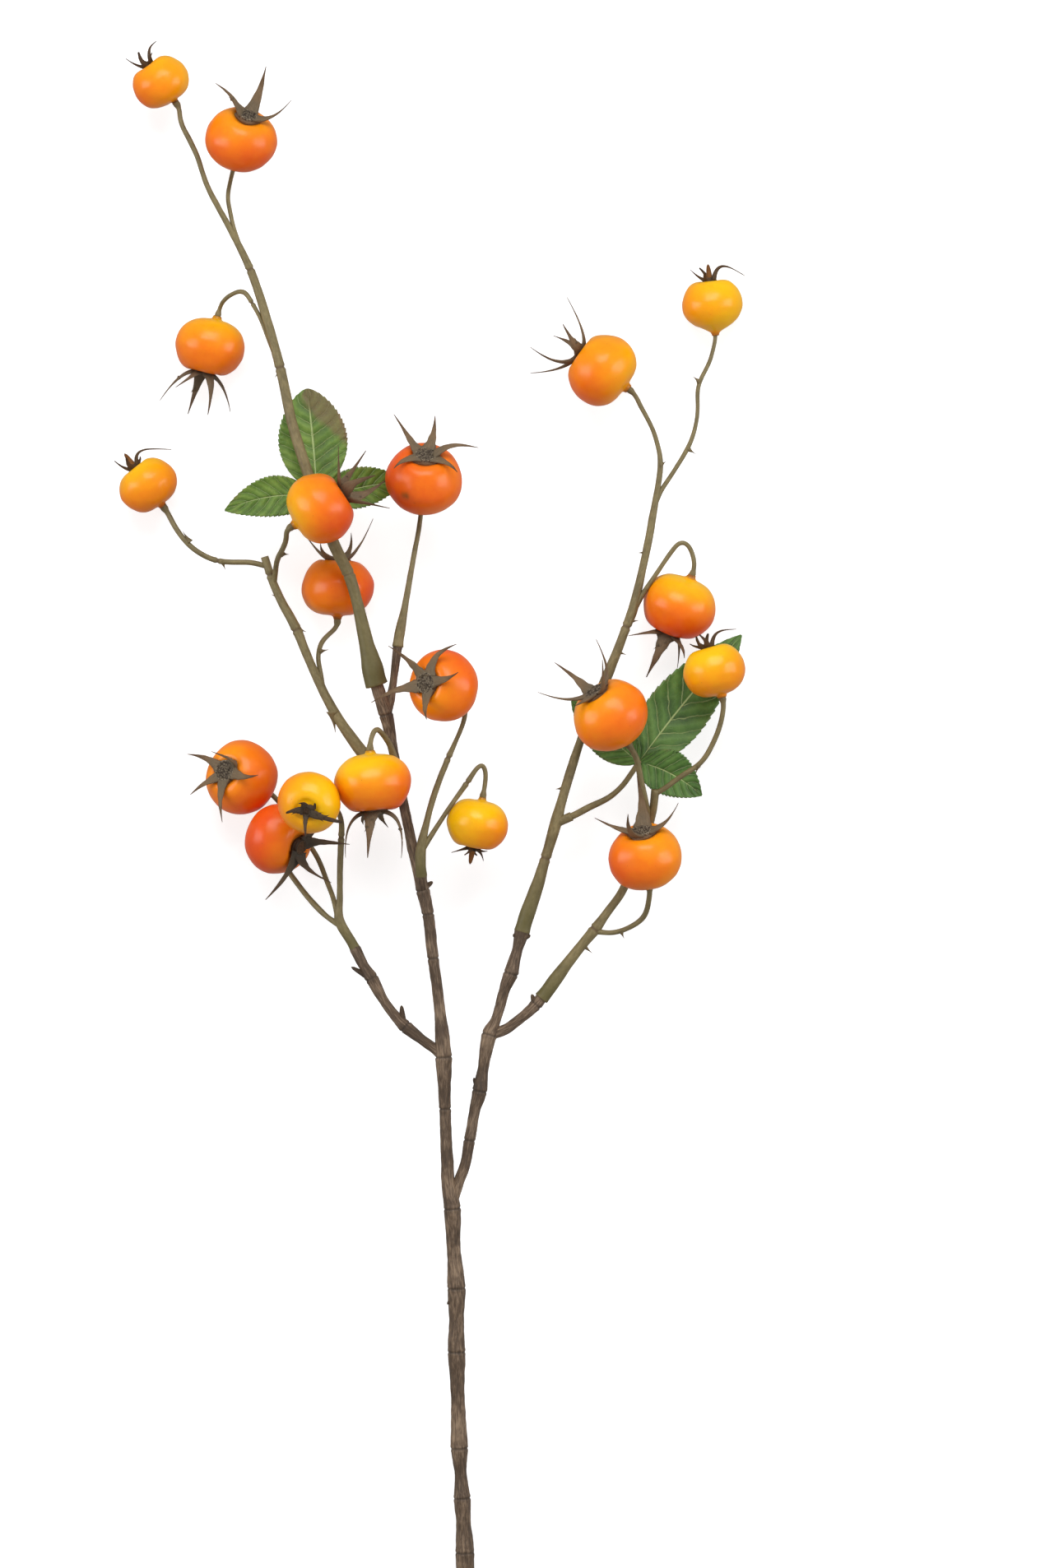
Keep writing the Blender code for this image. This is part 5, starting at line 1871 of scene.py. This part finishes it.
# ---- studio ----------------------------------------------------------------------------------
@dataclass(frozen=True)
class Softbox:
    """A rectangular lamp: where it hangs in metres, its size, and its power in watts."""

    place: Point
    width: float
    depth: float
    power: float

    def build(self, name: str, target: Vector) -> None:
        """Hang the lamp.

        Args:
            name: The lamp's name.
            target: What it is aimed at, in metres.
        """
        lamp = bpy.data.lights.new(name, "AREA")
        lamp.shape = "RECTANGLE"
        lamp.size, lamp.size_y, lamp.energy = self.width, self.depth, self.power
        item = bpy.data.objects.new(name, lamp)
        item.location = self.place
        item.rotation_euler = (target - Vector(self.place)).to_track_quat("-Z", "Y").to_euler()
        bpy.context.scene.collection.objects.link(item)


@dataclass(frozen=True)
class Studio:
    """Floor, lamps, surroundings and the camera that looks straight down.

    view_centre and view_length are in millimetres in the routes' frame, the rest in metres.
    """

    floor_size: float = 60.0
    floor_drop: float = 0.0002
    brightness: float = 0.38
    boxes: tuple[Softbox, ...] = (
        Softbox((0.0, 2.1, 2.3), 2.4, 1.6, 55), Softbox((-1.9, 0.25, 0.95), 0.9, 1.5, 17),
        Softbox((1.9, 0.25, 0.95), 0.9, 1.5, 17))
    lamp_aim: Point = (0, 0, 0.03)
    height: float = 8.0
    level: float = 0.025
    view_centre: tuple[float, float] = (33.6, 14.1)
    view_length: float = 572.0

    def build(self, shift: Vector) -> None:
        """Set it all up round the sprig.

        Args:
            shift: From the routes' frame to the model's, in millimetres.
        """
        scene = bpy.context.scene
        bpy.ops.object.select_all(action="DESELECT")
        bpy.ops.mesh.primitive_plane_add(size=self.floor_size)
        floor = bpy.context.active_object
        floor.name = "floor"
        floor.data.transform(Matrix.Translation(-UP * self.floor_drop))
        floor.visible_glossy = False
        floor.visible_diffuse = False
        finished(floor, FloorFinish().material())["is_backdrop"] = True
        world = bpy.data.worlds.new("surroundings")
        world.use_nodes = True
        world.node_tree.nodes["Background"].inputs["Color"].default_value = (1, 1, 1, 1)
        world.node_tree.nodes["Background"].inputs["Strength"].default_value = self.brightness
        scene.world = world
        for index, box in enumerate(self.boxes):
            box.build(f"softbox_{index}", Vector(self.lamp_aim))
        lens = bpy.data.cameras.new("camera")
        camera = bpy.data.objects.new("camera", lens)
        scene.collection.objects.link(camera)
        across, along = (Vector((*self.view_centre, 0)) + shift).xy * MM
        camera.location = (across, along, self.level + self.height)
        lens.lens = lens.sensor_width * self.height / (self.view_length * MM)
        lens.clip_start, lens.clip_end = 0.1, 100
        lens.dof.use_dof = False
        scene.camera = camera
        scene.view_settings.view_transform = "Standard"


def standing_place() -> Vector:
    """How far the model's frame lies from the routes' own, by a hip that points along +Y.

    Returns:
        The shift in millimetres.
    """
    hip = HIPS["hip_07"]
    low, high = (Vector(corner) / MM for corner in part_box("hip_07"))
    middle = (low + high) / 2
    middle.y = low.y + hip.half_length * hip.neck_reach
    return middle - Vector(hip.centre)


def main() -> None:
    """Build the sprig and the studio, held inside the model's box."""
    logging.basicConfig(level=logging.INFO, format="%(message)s")
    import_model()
    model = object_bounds()
    shift = standing_place()
    shop = Shop(shift, *model)
    WOODY_STEM.build(shop)
    # the turn numbers differ, so that no two stems have the same ridges and no two hips the same lumps
    for index, twig in enumerate(TWIGS):
        twig.build(shop, HIPS, 20.0 + index * 3)
    blades = (LeafFinish().material(),
              LeafFinish("deep_leaf_blade", "2C4A18", "446A26", "668C40").material())
    for index, (leaf, blade) in enumerate(zip(LEAVES, blades)):
        leaf.build(shop, blade, 50.0 + index * 5)
    skin, middle = SkinFinish().material(), DiscFinish().material()
    sepals = SepalFinish("long_sepal").material()
    tepals = SepalFinish("short_sepal", "57452F", "5F452C", "45301E", "8C6C46").material()
    stub = SepalFinish("withered_styles", "8A5A28", "96602A", "7A4A20", "B88440").material()
    fruit_master, disc_master = Hip.master(), Calyx.master()
    for index, (name, hip) in enumerate(HIPS.items()):
        fruit = hip.build(f"{name}_fruit", fruit_master, skin, 1.0 + index)
        shop.placed(fruit, name)
        node = name.replace("hip", "calyx")
        calyx = Calyx(hip).build(f"{node}_dried", disc_master, shop, middle,
                                 sepals if hip.long_sepals else tepals, stub, 1.0 + index)
        shop.placed(calyx, node)
    for master in (fruit_master, disc_master, shop.thorn, shop.bud):
        bpy.data.objects.remove(master)
    Studio().build(shift)
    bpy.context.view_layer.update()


if __name__ == "__main__":
    main()
